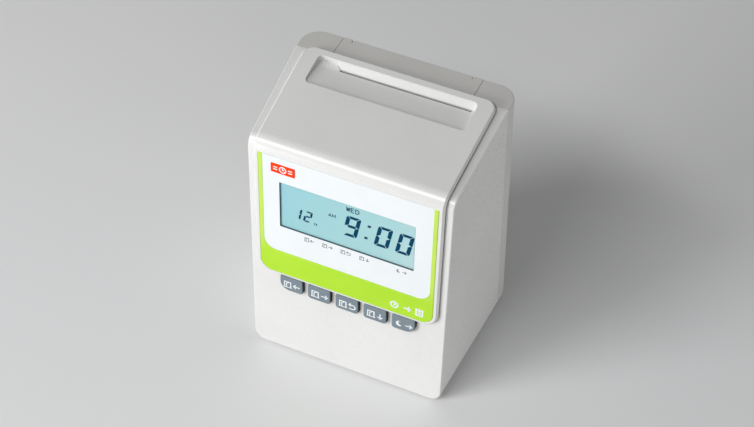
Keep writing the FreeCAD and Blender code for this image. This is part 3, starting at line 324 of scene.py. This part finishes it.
def glossy(name, rgb, roughness=0.12, tone=0.006):
    """Printed film or polished plastic under a clear coat, with a faint orange peel."""
    s = Shader(name, roughness, coat=0.6)
    clouds = s.noise(30)
    s.colour(s.ramp(clouds, [(0.3, shade(rgb, 1 - tone)), (0.7, shade(rgb, 1 + tone))]))
    peel = s.noise(2.5)
    s.rough(s.span(peel, roughness - 0.03, roughness + 0.03))
    s.bump(peel, 0.004)
    return s.material


def steel(name, rgb, roughness, grain=(1, 40, 40), tone=0.08):
    """Metal with fine marks drawn out along one direction."""
    s = Shader(name, roughness, metallic=1.0)
    marks = s.noise(4.0, detail=5.0, stretch=grain)
    s.colour(s.ramp(marks, [(0.3, shade(rgb, 1 - tone)), (0.7, shade(rgb, 1 + tone))]))
    s.rough(s.span(marks, roughness - 0.08, roughness + 0.1))
    s.bump(marks, 0.01)
    return s.material


def rubber(name, rgb):
    s = Shader(name, 0.75)
    dust = s.noise(6, detail=6.0)
    s.colour(s.ramp(dust, [(0.35, rgb), (0.75, shade(rgb, 1.5))]))
    grain = s.noise(0.3)
    s.rough(s.span(grain, 0.65, 0.85))
    s.bump(grain, 0.02)
    return s.material


def key_plastic():
    """Slate key caps whose left and right flanks are painted near-black: painted shade on the keys'
    sides.
    """
    s = Shader("key_slate_plastic", 0.38)
    grain = s.noise(0.25)
    clouds = s.noise(9)
    slate = s.ramp(clouds, [(0.3, (118, 132, 142)), (0.7, (124, 138, 147))])
    # painted shade: near-black colour for the keys' left and right flanks
    flank_shade = s.ramp(clouds, [(0.3, (18, 19, 20)), (0.7, (24, 25, 26))])
    s.colour(s.mix(s.flank(0.35, 0.55), slate, flank_shade))
    s.rough(s.span(grain, 0.32, 0.44))
    s.bump(grain, 0.006)
    return s.material


def lcd_surface():
    """The lit liquid crystal: bluer at the upper left, paler towards the lower right."""
    low, high = (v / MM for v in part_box("lcd_glass"))
    s = Shader("lcd_surface", 0.14, coat=0.5)
    way = Vector((0.93, 0, -0.37))
    across = s.along(way, low.x * way.x + high.z * way.z, high.x * way.x + low.z * way.z)
    s.colour(s.ramp(across, [(0.0, (146, 203, 216)), (0.35, (157, 208, 213)), (0.75, (167, 212, 215)),
                             (1.0, (186, 219, 222))]))
    haze = s.noise(14, detail=3.0)
    s.rough(s.span(haze, 0.11, 0.18))
    s.bump(s.noise(0.18), 0.002)
    return s.material


def trim_plastic():
    """Green plastic: the narrow side strips above the band are painted lighter than the wide lower
    band, a painted highlight.
    """
    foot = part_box("green_trim")[0].z / MM
    s = Shader("green_trim_plastic", 0.25, coat=0.15, shine=0.25)
    height = s.along(UP, foot + 17, foot + 30)
    clouds = s.noise(25)
    band = s.ramp(clouds, [(0.3, (176, 226, 40)), (0.7, (183, 229, 52))])
    # painted light: lighter green for the upper side strips
    painted_light_strip = s.ramp(clouds, [(0.3, (194, 230, 84)), (0.7, (203, 234, 104))])
    s.colour(s.mix(height, band, painted_light_strip))
    peel = s.noise(2.0)
    s.rough(s.span(peel, 0.16, 0.24))
    s.bump(peel, 0.003)
    return s.material


def circuit_board(name):
    """Green solder resist with buried copper tracks and lighter vias."""
    s = Shader(name, 0.32, coat=0.3)
    tracks = s.node("ShaderNodeTexBrick", offset=0.5, squash=1.0)
    turned = s.node("ShaderNodeMapping")
    turned.inputs["Rotation"].default_value = (math.radians(90), 0, 0)
    s.join(s.place, turned.inputs["Vector"])
    s.join(turned.outputs["Vector"], tracks.inputs["Vector"])
    tracks.inputs["Scale"].default_value = 260
    tracks.inputs["Mortar Size"].default_value = 0.035
    tracks.inputs["Color1"].default_value = linear((18, 92, 52))
    tracks.inputs["Color2"].default_value = linear((24, 104, 60))
    tracks.inputs["Mortar"].default_value = linear((58, 148, 92))
    s.colour(tracks.outputs["Color"])
    s.bump(tracks.outputs["Fac"], -0.03)
    s.rough(s.span(s.noise(3), 0.26, 0.4))
    return s.material


def ribbed(name, rgb, roughness, pitch_mm, axis):
    """Plastic or foil with fine parallel ribs across an axis."""
    s = Shader(name, roughness)
    wave = s.node("ShaderNodeTexWave", wave_type="BANDS", bands_direction=axis)
    wave.inputs["Scale"].default_value = 0.314 / (pitch_mm * MM)
    s.join(s.place, wave.inputs["Vector"])
    s.colour(s.ramp(wave.outputs["Fac"], [(0.0, shade(rgb, 0.85)), (1.0, shade(rgb, 1.1))]))
    s.rough(s.span(s.noise(0.6), roughness - 0.06, roughness + 0.06))
    s.bump(wave.outputs["Fac"], 0.03)
    return s.material


def floor_surface():
    s = Shader("studio_floor", 0.8)
    clouds = s.noise(400, detail=3.0)
    s.colour(s.ramp(clouds, [(0.3, (236, 237, 238)), (0.7, (239, 239, 240))]))
    s.bump(s.noise(1.2), 0.01)
    return s.material


def slot_materials():
    """The material of each slot that the record names."""
    return {
        "white_plastic": moulded("white_moulded_plastic", (231, 231, 229), roughness=0.27,
                                 shine=1.0),
        "grey_plastic": moulded("grey_moulded_plastic", (214, 213, 210), roughness=0.46),
        "base_plastic": moulded("base_moulded_plastic", (196, 196, 193), roughness=0.55,
                                depth_mm=0.02),
        "black_rubber": rubber("black_rubber", (26, 26, 27)),
        "zinc_steel": steel("zinc_plated_steel", (196, 198, 202), 0.3, grain=(6, 6, 6)),
        "frame_steel": steel("frame_sheet_steel", (168, 171, 174), 0.36, grain=(1, 1, 18)),
        "shaft_steel": steel("ground_shaft_steel", (205, 206, 208), 0.18, grain=(30, 1, 1)),
        "window_white": glossy("window_panel_white", (239, 244, 247)),
        "trim_green": trim_plastic(),
        "badge_red": moulded("badge_red_enamel", (252, 64, 0), roughness=0.35, grain_mm=0.6,
                             depth_mm=0.003, shine=0.1),
        "lcd_cyan": lcd_surface(),
        "backlight_white": moulded("light_guide_white", (235, 238, 236), roughness=0.2),
        "circuit_green": circuit_board("circuit_board_green"),
        "component_black": moulded("component_black_resin", (30, 31, 33), roughness=0.5,
                                   grain_mm=0.2),
        "key_slate": key_plastic(),
        "guide_plastic": moulded("guide_dark_plastic", (62, 64, 67), roughness=0.5),
        "bush_brass": steel("bush_brass", (204, 168, 92), 0.28, grain=(8, 8, 8)),
        "gear_plastic": moulded("gear_acetal", (232, 228, 212), roughness=0.34, grain_mm=0.5),
        "motor_steel": steel("motor_can_steel", (182, 184, 186), 0.3, grain=(20, 1, 1)),
        "carriage_plastic": moulded("carriage_black_plastic", (44, 45, 48), roughness=0.44),
        "cassette_plastic": moulded("cassette_blue_plastic", (66, 88, 122), roughness=0.4),
        "ribbon_ink": ribbed("ribbon_inked_fabric", (48, 34, 66), 0.8, 0.35, "Z"),
        "battery_wrap": glossy("battery_blue_wrap", (34, 96, 152), roughness=0.25, tone=0.05),
        "jack_black": moulded("jack_black_plastic", (24, 25, 26), roughness=0.36),
    }


def finish_cad_nodes(materials):
    """Gives each CAD node its slot's material."""
    for node in NODES.values():
        for slot in node.material_slots:
            slot.material = materials[slot.material.name.split(".")[0]]


# ---------------------------------------------------------------- display
SEGMENT_OF = {"0": "abcdef", "1": "bc", "2": "abged", "9": "abcdfg"}
SLANT = 0.19
DIGIT_FOOT = 122.9       # height of the digits' foot on the clock, mm
LETTER_FILL = 0.8        # share of its pitch that a letter takes


def segment_shapes(width, height, thick, gap):
    """The seven segments of an upright digit, as polygons."""
    half = height / 2
    t = thick
    thin = thick * 0.82
    g = gap
    lower_left = [(0, t * 0.45 + g), (t * 0.3, g), (t, thin + g), (t, half - thin / 2 - g),
                  (t * 0.4, half - g / 2), (0, half - g)]
    lower_right = [(width - x, y) for x, y in lower_left]
    upper_left = [(x, height - y) for x, y in lower_left]
    upper_right = [(width - x, height - y) for x, y in lower_left]
    top = [(t * 0.4 + g, height), (width - t * 0.4 - g, height), (width - t - g, height - thin),
           (t + g, height - thin)]
    bottom = [(x, height - y) for x, y in top]
    bar = [(t * 0.6 + g, half), (t + g, half + thin / 2), (width - t - g, half + thin / 2),
           (width - t * 0.6 - g, half), (width - t - g, half - thin / 2), (t + g, half - thin / 2)]
    return {"a": top, "b": upper_right, "c": lower_right, "d": bottom, "e": lower_left,
            "f": upper_left, "g": bar}


def digit(character, x, y, width, height, thick, gap):
    """A leaning seven-segment digit whose lower left corner is at x and y."""
    shapes = segment_shapes(width, height, thick, gap)
    return [[(x + px + SLANT * py, y + py) for px, py in shapes[s]] for s in SEGMENT_OF[character]]


LETTER_LINES = {
    "W": [[(0, 1), (0.22, 0)], [(0.22, 0), (0.45, 0.9)], [(0.45, 0.9), (0.7, 0)],
          [(0.7, 0), (0.92, 1)]],
    "E": [[(0.85, 1), (0, 1), (0, 0), (0.85, 0)], [(0, 0.52), (0.7, 0.52)]],
    "D": [[(0.5, 0), (0, 0), (0, 1), (0.5, 1), (0.85, 0.78), (0.85, 0.22), (0.45, 0)]],
    "A": [[(0, 0), (0.45, 1), (0.9, 0)], [(0.18, 0.34), (0.72, 0.34)]],
    "M": [[(0, 0), (0, 1), (0.5, 0.35), (1, 1), (1, 0)]],
}


def word(text, x, y, height, width, line):
    """Stroke letters side by side, the whole as wide as stated."""
    pitch = width / len(text)
    shapes = []
    for i, character in enumerate(text):
        for points in LETTER_LINES[character]:
            path = [(x + (i + LETTER_FILL * px) * pitch, y + py * height) for px, py in points]
            shapes += ribbon(path, line)
    return shapes


def make_display_marks(materials):
    """Everything the liquid crystal shows, in its own coordinates from the lower left corner."""
    glass = leaning_face("lcd_glass")
    centre = half_width("lcd_glass")
    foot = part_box("lcd_glass")[0].z / MM
    shapes = []
    for character, x in (("9", -3.3), ("0", 17.6), ("0", 31.6)):
        shapes += digit(character, centre + x, DIGIT_FOOT - foot, 9.6, 16.9, 2.55, 0.2)
    for x, z in ((11.0, 135.5), (10.9, 125.3)):
        shapes.append([(centre + x + SLANT * (z - DIGIT_FOOT + py) + px, z - foot + py)
                       for px, py in rect(0, 0, 2.1, 1.8)])
    for character, x in (("1", -36.7), ("2", -29.7)):
        shapes += digit(character, centre + x, DIGIT_FOOT - foot, 5.2, 9.1, 1.4, 0.12)
    shapes += moved([rect(0, 0, 0.6, 1.7), rect(1.3, 0, 1.9, 1.7)], centre - 22.0, 122.5 - foot)
    shapes += word("WED", centre - 0.6, 143.3 - foot, 3.2, 9.2, 0.6)
    shapes += word("AM", centre - 12.4, 134.2 - foot, 2.3, 5.2, 0.48)
    flat_mark("lcd_segments", glass, shapes, 0.05, 0.1, "hood", materials["ink"])


def make_window_cutout_shade(materials):
    """Dark band of painted shade on the walls of the window's cut-out, from the panel's face down to
    the glass.
    """
    panel = leaning_face("window_panel")
    glass = leaning_face("lcd_glass")
    overlap, wall = 2.8, 0.22
    low = glass.at(overlap, overlap) - panel.corner
    x0, y0 = low.dot(RIGHT) / MM, low.dot(panel.up) / MM
    depth = (glass.corner - panel.corner).dot(INWARD) / MM
    corners = rect(x0 + wall / 2, y0 + wall / 2,
                   x0 + WINDOW_WIDTH - wall / 2, y0 + WINDOW_HEIGHT - wall / 2)
    flat_mark("window_rim", panel, ribbon(corners, wall, closed=True), -0.15, depth - 0.15,
              "hood", materials["rim"])


# ---------------------------------------------------------------- hood's painted gap shade
class CasingSheet:
    """The casing's front, bend and sloping top as one sheet: x across, v up and then back, mm."""

    def __init__(self):
        points = [v.co for v in NODES["main_housing"].data.vertices]
        self.up = leaning_face("main_housing").up
        self.normals = (-INWARD, Vector((0, -math.sin(TOP_SLOPE), math.cos(TOP_SLOPE))))
        (a, b), (c, d) = [(n.y, n.z) for n in self.normals]
        front, top = [max(n.dot(p) for p in points) - BEND_R * MM for n in self.normals]
        scale = a * d - b * c
        self.centre = Vector((0, (front * d - b * top) / scale, (a * top - front * c) / scale))
        self.bend_start = self.up.dot(self.centre) / MM
        self.turn = self.normals[0].angle(self.normals[1])

    def at(self, x, v, lift):
        """The point at x and v, standing lift above the casing."""
        past = v - self.bend_start
        angle = min(max(past / BEND_R, 0), self.turn)
        out = Matrix.Rotation(-angle, 3, "X") @ self.normals[0]
        along = Vector((0, out.z, -out.y))
        straight = past - angle * BEND_R
        return self.centre + RIGHT * x * MM + (out * (BEND_R + lift) + along * straight) * MM


def hood_half(y_mm):
    """Half width of the hood at a depth."""
    share = (y_mm + CASING_DEPTH / 2) / CASING_DEPTH
    return HOOD_HALF_FRONT + (HOOD_HALF_REAR - HOOD_HALF_FRONT) * share


def make_hood_gap_shade(materials):
    """Black band painted into the gap behind the hood's edge, along its sides and lower end: painted
    shade that darkens the gap.
    """
    sheet = CasingSheet()
    inset, width, bottom, top, pitch = 0.6, 1.0, 0.02, 0.76, 6.0
    low = leaning_face("hood").corner.dot(sheet.up) / MM + inset
    side = []
    for step in range(22):
        v = low + GAP_SHADE_CORNER_R + step * pitch
        y = sheet.at(0, v, 0).y / MM
        if y < GAP_SHADE_REAR_END:
            side.append((hood_half(y) - inset, v))
    corner = arc(side[0][0] - GAP_SHADE_CORNER_R, low + GAP_SHADE_CORNER_R, GAP_SHADE_CORNER_R, -10, -90, 8)
    right = side[::-1] + corner
    path = right + [(-x, v) for x, v in right[::-1]]
    quads = ribbon(path, width)
    rails = [(q[0], q[1]) for q in quads] + [(quads[-1][3], quads[-1][2])]
    bm = bmesh.new()
    rings = [[bm.verts.new(sheet.at(*point, lift)) for point, lift in
              ((a, top), (b, top), (b, bottom), (a, bottom))] for a, b in rails]
    for first, second in zip(rings, rings[1:]):
        for i in range(4):
            bm.faces.new((first[i - 1], first[i], second[i], second[i - 1]))
    bm.faces.new(rings[0])
    bm.faces.new(rings[-1])
    # painted shade: a black band that stands for the shadow in the hood's gap
    mesh_piece("hood_gap_shade", bm, "hood", materials["black_rubber"])


# ---------------------------------------------------------------- pictograms, about 5 mm high
def door(line):
    """A door frame on its sill, with the leaf standing ajar."""
    return (ribbon([(0.2, 0.3), (0.2, 4.7), (4.2, 4.7), (4.2, 0.3)], line)
            + ribbon([(-0.6, 0.3), (5.0, 0.3)], line * 0.8)
            + ribbon([(1.5, 0.6), (1.5, 3.4), (3.0, 4.4)], line * 0.8))


def arrow_line(points, line, head=1.6):
    """A line with an arrow head at its last point."""
    (ax, ay), (bx, by) = points[-2:]
    way = Vector((bx - ax, by - ay)).normalized()
    side = Vector((-way.y, way.x))
    tip = Vector((bx, by))
    wings = [tip - way * head + side * head, tip, tip - way * head - side * head]
    return ribbon(points, line) + ribbon(wings, line)


def arrow_in(line):
    return arrow_line([(4.6, 2.5), (0.4, 2.5)], line)


def arrow_out(line):
    return arrow_line([(0.4, 2.5), (4.6, 2.5)], line)


def arrow_back(line):
    return arrow_line([(0.6, 0.6), *arc(2.9, 2.2, 1.6, -90, 90, 8), (0.5, 3.8)], line, head=1.2)


def arrow_down(line):
    return arrow_line([(2.4, 4.6), (2.4, 0.5)], line)


def moon():
    return [arc(2.4, 2.5, 2.1, 55, 180, 8) + arc(3.4, 3.1, 1.5, 200, 115, 8),
            arc(2.4, 2.5, 2.1, 180, 305, 8) + arc(3.4, 3.1, 1.5, 275, 200, 8)]


def clock_dial(line):
    return (ribbon(arc(2.5, 2.5, 2.1, 0, 345, 23), line, closed=True)
            + ribbon([(2.5, 3.9), (2.5, 2.5), (3.5, 2.5)], line))


def time_card(line):
    shapes = ribbon(rect(0.3, 0.3, 4.0, 4.8), line, closed=True)
    for y in (1.5, 2.6, 3.7):
        shapes += ribbon([(1.3, y), (3.0, y)], line * 0.8)
    return shapes


def function_sign(index, line):
    """The two pictograms of a function: 1 arrive, 2 step out, 3 come back, 4 leave, 5 late."""
    first = moved(moon(), -0.2, 0) if index == 4 else door(line)
    second = (arrow_in, arrow_out, arrow_back, arrow_down, arrow_out)[index](line)
    return first + moved(second, 5.6, 0)


def make_key_legends(materials):
    for index, key in enumerate(KEYS):
        face = leaning_face(key)
        sign = function_sign(index, SIGN_LINE)
        shapes = moved(sign, half_width(key) - 5.0, 3.9, scale=1.08)
        flat_mark(key + "_legend", face, shapes, 0.03, 0.08, key,
                  materials["print_white"])


def make_panel_labels(materials):
    """Small grey signs under the display, one for each key."""
    panel = leaning_face("window_panel")
    centre = half_width("window_panel")
    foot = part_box("window_panel")[0].z / MM
    shapes = []
    for index, x in enumerate((-28.0, -15.8, -3.5, 9.2, 33.7)):
        sign = function_sign(index, SIGN_LINE)
        shapes += moved(sign, centre + x, 107.6 - foot, scale=0.64)
    flat_mark("panel_labels", panel, shapes, 0.02, 0.06, "hood",
              materials["print_grey"])


def make_trim_sign(materials):
    """White signs at the right of the green band: a clock, an arrow and a time card."""
    trim = leaning_face("green_trim")
    centre = half_width("green_trim")
    shapes = []
    for index, sign in enumerate((clock_dial, arrow_out, time_card)):
        shapes += moved(sign(0.9), centre + 30.4 + index * 8.6, 4.2, scale=1.14)
    flat_mark("trim_sign", trim, shapes, 0.03, 0.08, "hood",
              materials["print_white"])


def make_badge_sign(materials):
    """A plain dial between two bars on the red plate."""
    badge = leaning_face("badge_plate")
    bars = [rect(1.6, 2.2, 4.4, 3.0), rect(1.6, 4.0, 4.4, 4.8),
            rect(11.6, 2.2, 14.4, 3.0), rect(11.6, 4.0, 14.4, 4.8)]
    shapes = moved(clock_dial(0.8), 5.5, 1.0) + bars
    flat_mark("badge_sign", badge, shapes, 0.03, 0.08, "hood",
              materials["print_white"])


# ---------------------------------------------------------------- inside and behind
def make_chip_pins(materials):
    """Soldered legs along both sides of each chip on the main board."""
    board = face_of("main_board", UP, -BACK)
    length, width = 1.1, 0.44
    legs = []
    for centre, size in lumps("board_components"):
        if min(size.x, size.z) < 6:
            continue
        x, z = board.place(centre)
        count = int((size.z - 1) / PIN_PITCH)
        for i in range(count):
            level = z + (i - (count - 1) / 2) * PIN_PITCH
            for side in (-1, 1):
                ends = sorted((x + side * size.x / 2, x + side * (size.x / 2 + length)))
                legs.append(rect(ends[0], level - width / 2, ends[1], level + width / 2))
    flat_mark("chip_pins", board, legs, 0.4, 0.35, "casing", materials["solder"])


def make_solder_pads(materials):
    """Rows of solder on the boards' back faces."""
    back = face_of("main_board", UP, BACK)
    pads = []
    for centre, size in lumps("board_components"):
        x, z = back.place(centre)
        count = max(2, int(size.z / PAD_PITCH))
        pads += [(x + side * size.x * 0.42, z + (i - (count - 1) / 2) * PAD_PITCH)
                 for i in range(count) for side in (-1, 1)]
    flat_mark("main_board_solder", back, dots(pads, 0.65), 0.25, 0.2, "casing",
              materials["solder"])
    keys = face_of("key_board", LEAN_UP, INWARD)
    pads = []
    for centre, size in lumps("tact_switches"):
        if size.x > 5:
            x, z = keys.place(centre)
            pads += [(x + dx, z + dz) for dx in (-3.2, 3.2) for dz in (-2.2, 2.2)]
    pads += [(44 + i * 2.0, 4.0) for i in range(8)]
    flat_mark("key_board_solder", keys, dots(pads, 0.7), 0.3, 0.25, "casing",
              materials["solder"])
    display = face_of("display_board", LEAN_UP, INWARD)
    pads = [(14 + i * 2.0, z) for i in range(40) for z in (3.0, 44.0)]
    flat_mark("display_board_solder", display, dots(pads, 0.6), 0.3, 0.25, "hood",
              materials["solder"])


def make_board_parts(materials):
    """Plug headers and the display's chip, under its drop of resin, behind the leaning boards."""
    for name, node, body, x, z in (("key_board_header", "key_board", "casing", 60, 9),
                                   ("display_board_header", "display_board", "hood", 30, 10)):
        board = face_of(node, LEAN_UP, INWARD)
        walls = ribbon(rect(x, z, x + 17, z + 4.6), 0.8, closed=True)
        flat_mark(name, board, walls, 4.0, 3.98, body, materials["gear_plastic"])
        pins = dots([(x + 1.5 + i * 2.0, z + 2.3) for i in range(8)], 0.3, 8)
        flat_mark(name + "_pins", board, pins, 3.2, 3.18, body,
                  materials["bush_brass"])
    display = face_of("display_board", LEAN_UP, INWARD)
    for name, radius, lift in (("display_chip_foot", 6.0, 0.5), ("display_chip_top", 4.6, 1.0)):
        flat_mark(name, display, dots([(62, 26)], radius, 32), lift, lift - 0.02, "hood",
                  materials["component_black"])


def make_motor_end(materials):
    """Insulating end plate and the two terminals of the carriage motor."""
    motor = face_of("carriage_motor", UP, -BACK)
    x, z = motor.place(sum(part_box("carriage_motor"), Vector()) / 2)
    flat_mark("motor_end_plate", motor, dots([(x, z)], 6.2, 40), 0.5, 0.48, "casing",
              materials["component_black"])
    tabs = [rect(x + side * 3.6 - 0.5, z - 1.2, x + side * 3.6 + 0.5, z + 1.2) for side in (-1, 1)]
    flat_mark("motor_terminals", motor, tabs, 2.0, 1.52, "casing",
              materials["bush_brass"])
    flat_mark("motor_bearing", motor, dots([(x, z)], 1.6, 24), 1.0, 0.52, "casing",
              materials["bush_brass"])


def make_cassette_marks(materials):
    """A plain sticker on the ribbon cassette, and the arrow of the ribbon's way on its lid."""
    front = face_of("ribbon_cassette", UP, -BACK)
    left, foot = 58.0, 18.0
    sticker = [rect(left, foot, left + 32, foot + 8.5)]
    flat_mark("cassette_sticker", front, sticker, 0.05, 0.04, "casing",
              materials["print_white"])
    bars = [rect(left + 2, foot + y, left + end, foot + y + 0.9)
            for y, end in ((1.6, 20), (3.8, 27), (6.0, 24))]
    flat_mark("cassette_bars", front, bars, 0.09, 0.03, "casing",
              materials["print_grey"])
    lid = face_of("cassette_lid", BACK, UP)
    arrow = moved(arrow_line([(0, 0), (14, 0)], 1.0, head=3.0), 66, 11)
    flat_mark("cassette_arrow", lid, arrow, -4.9, 0.09, "casing",
              materials["print_white"])


def make_rating_plate(materials):
    """A blank plate with plain bars on the back, and a ring and dot above the inlet."""
    back = face_of("rear_housing", UP, BACK)
    middle, foot = back.place(Vector((0, 0, 14 * MM)))
    plate = [[(middle - 19, foot), (middle + 18, foot), (middle + 19, foot + 1),
              (middle + 19, foot + 21), (middle + 18, foot + 22), (middle - 18, foot + 22),
              (middle - 19, foot + 21)]]
    flat_mark("rating_plate", back, plate, 0.02, 0.015, "casing",
              materials["print_white"])
    bars = [rect(middle - 16, foot + y, middle + end, foot + y + 1.1)
            for y, end in ((3, 2), (6, 14), (9, 9), (12, 14), (16.5, -2))]
    flat_mark("rating_bars", back, bars, 0.03, 0.01, "casing",
              materials["print_grey"])
    x, z = back.place(Vector((-50 * MM, 0, 30 * MM)))
    inlet = (ribbon(arc(x, z, 1.5, 40, 320, 14), 0.4) + dots([(x, z)], 0.5)
             + [rect(x + 0.4, z - 0.2, x + 3.4, z + 0.2), rect(x - 3.4, z - 0.2, x - 1.6, z + 0.2)])
    flat_mark("inlet_sign", back, inlet, 0.02, 0.015, "casing",
              materials["print_grey"])


# ---------------------------------------------------------------- studio
CAMERA_PLACE = Vector((0.3273, -0.68692, 0.9376))
CAMERA_AZIMUTH = math.radians(25.544)
CAMERA_ELEVATION = math.radians(47.825)
CAMERA_ROLL = math.radians(-1.155)
CAMERA_LENS = 85.94


def make_camera():
    data = bpy.data.cameras.new("camera")
    data.sensor_width = 36
    data.lens = CAMERA_LENS
    camera = bpy.data.objects.new("camera", data)
    bpy.context.scene.collection.objects.link(camera)
    level = math.cos(CAMERA_ELEVATION)
    back = Vector((math.sin(CAMERA_AZIMUTH) * level, -math.cos(CAMERA_AZIMUTH) * level,
                   math.sin(CAMERA_ELEVATION)))
    right = (-back).cross(UP).normalized()
    up = back.cross(right)
    turned_right = right * math.cos(CAMERA_ROLL) + up * math.sin(CAMERA_ROLL)
    turned_up = up * math.cos(CAMERA_ROLL) - right * math.sin(CAMERA_ROLL)
    turn = Matrix((turned_right, turned_up, back)).transposed()
    camera.matrix_world = Matrix.Translation(CAMERA_PLACE) @ turn.to_4x4()
    bpy.context.scene.camera = camera


def make_floor():
    bm = bmesh.new()
    bmesh.ops.create_grid(bm, x_segments=1, y_segments=1, size=6.0)
    mesh = bpy.data.meshes.new("floor")
    bm.to_mesh(mesh)
    bm.free()
    mesh.materials.append(floor_surface())
    floor = bpy.data.objects.new("floor", mesh)
    bpy.context.scene.collection.objects.link(floor)


def make_light(name, azimuth, elevation, distance, width, height, power, target=(0, 0, 0.1)):
    """A soft box aimed at the clock; azimuth 0 is in front of it and 90 at its right."""
    data = bpy.data.lights.new(name, "AREA")
    data.shape = "RECTANGLE"
    data.size = width
    data.size_y = height
    data.energy = power
    light = bpy.data.objects.new(name, data)
    a, e = math.radians(azimuth), math.radians(elevation)
    way = Vector((math.sin(a) * math.cos(e), -math.cos(a) * math.cos(e), math.sin(e)))
    light.location = Vector(target) + way * distance
    light.rotation_mode = "QUATERNION"
    light.rotation_quaternion = way.to_track_quat("Z", "Y")
    bpy.context.scene.collection.objects.link(light)


def make_world(level):
    world = bpy.data.worlds.new("studio")
    world.use_nodes = True
    background = world.node_tree.nodes["Background"]
    background.inputs["Color"].default_value = (1.0, 1.0, 1.0, 1.0)
    background.inputs["Strength"].default_value = level
    bpy.context.scene.world = world


def make_studio():
    bpy.context.scene.view_settings.view_transform = "Standard"
    make_floor()
    make_world(0.225)
    make_light("key_light", azimuth=-42, elevation=14, distance=2.0, width=1.0, height=0.8,
               power=24.5)
    make_light("bend_light", azimuth=-27, elevation=50, distance=2.0, width=1.3, height=0.28,
               power=14)
    make_light("side_light", azimuth=100, elevation=2, distance=0.7, width=0.5, height=0.12,
               power=0.8, target=(0, 0, 0.02))
    make_camera()


# ---------------------------------------------------------------- the clock
def main():
    materials = slot_materials()
    finish_cad_nodes(materials)
    materials["ink"] = moulded("lcd_ink", INK, roughness=0.6, tone=0.04, depth_mm=0.001,
                               shine=0.08)
    # painted shade: dark colour for the walls of the window's cut-out
    materials["rim"] = moulded("window_cutout_painted_shade", (70, 88, 98), roughness=0.5)
    materials["print_white"] = moulded("printed_white", (238, 243, 246), roughness=0.4)
    materials["print_grey"] = moulded("printed_grey", (112, 122, 128), roughness=0.4)
    materials["solder"] = steel("solder_tin", (206, 208, 210), 0.25, grain=(6, 6, 6))
    make_hood_gap_shade(materials)
    make_display_marks(materials)
    make_window_cutout_shade(materials)
    make_key_legends(materials)
    make_panel_labels(materials)
    make_trim_sign(materials)
    make_badge_sign(materials)
    make_chip_pins(materials)
    make_solder_pads(materials)
    make_board_parts(materials)
    make_motor_end(materials)
    make_cassette_marks(materials)
    make_rating_plate(materials)
    make_studio()


main()
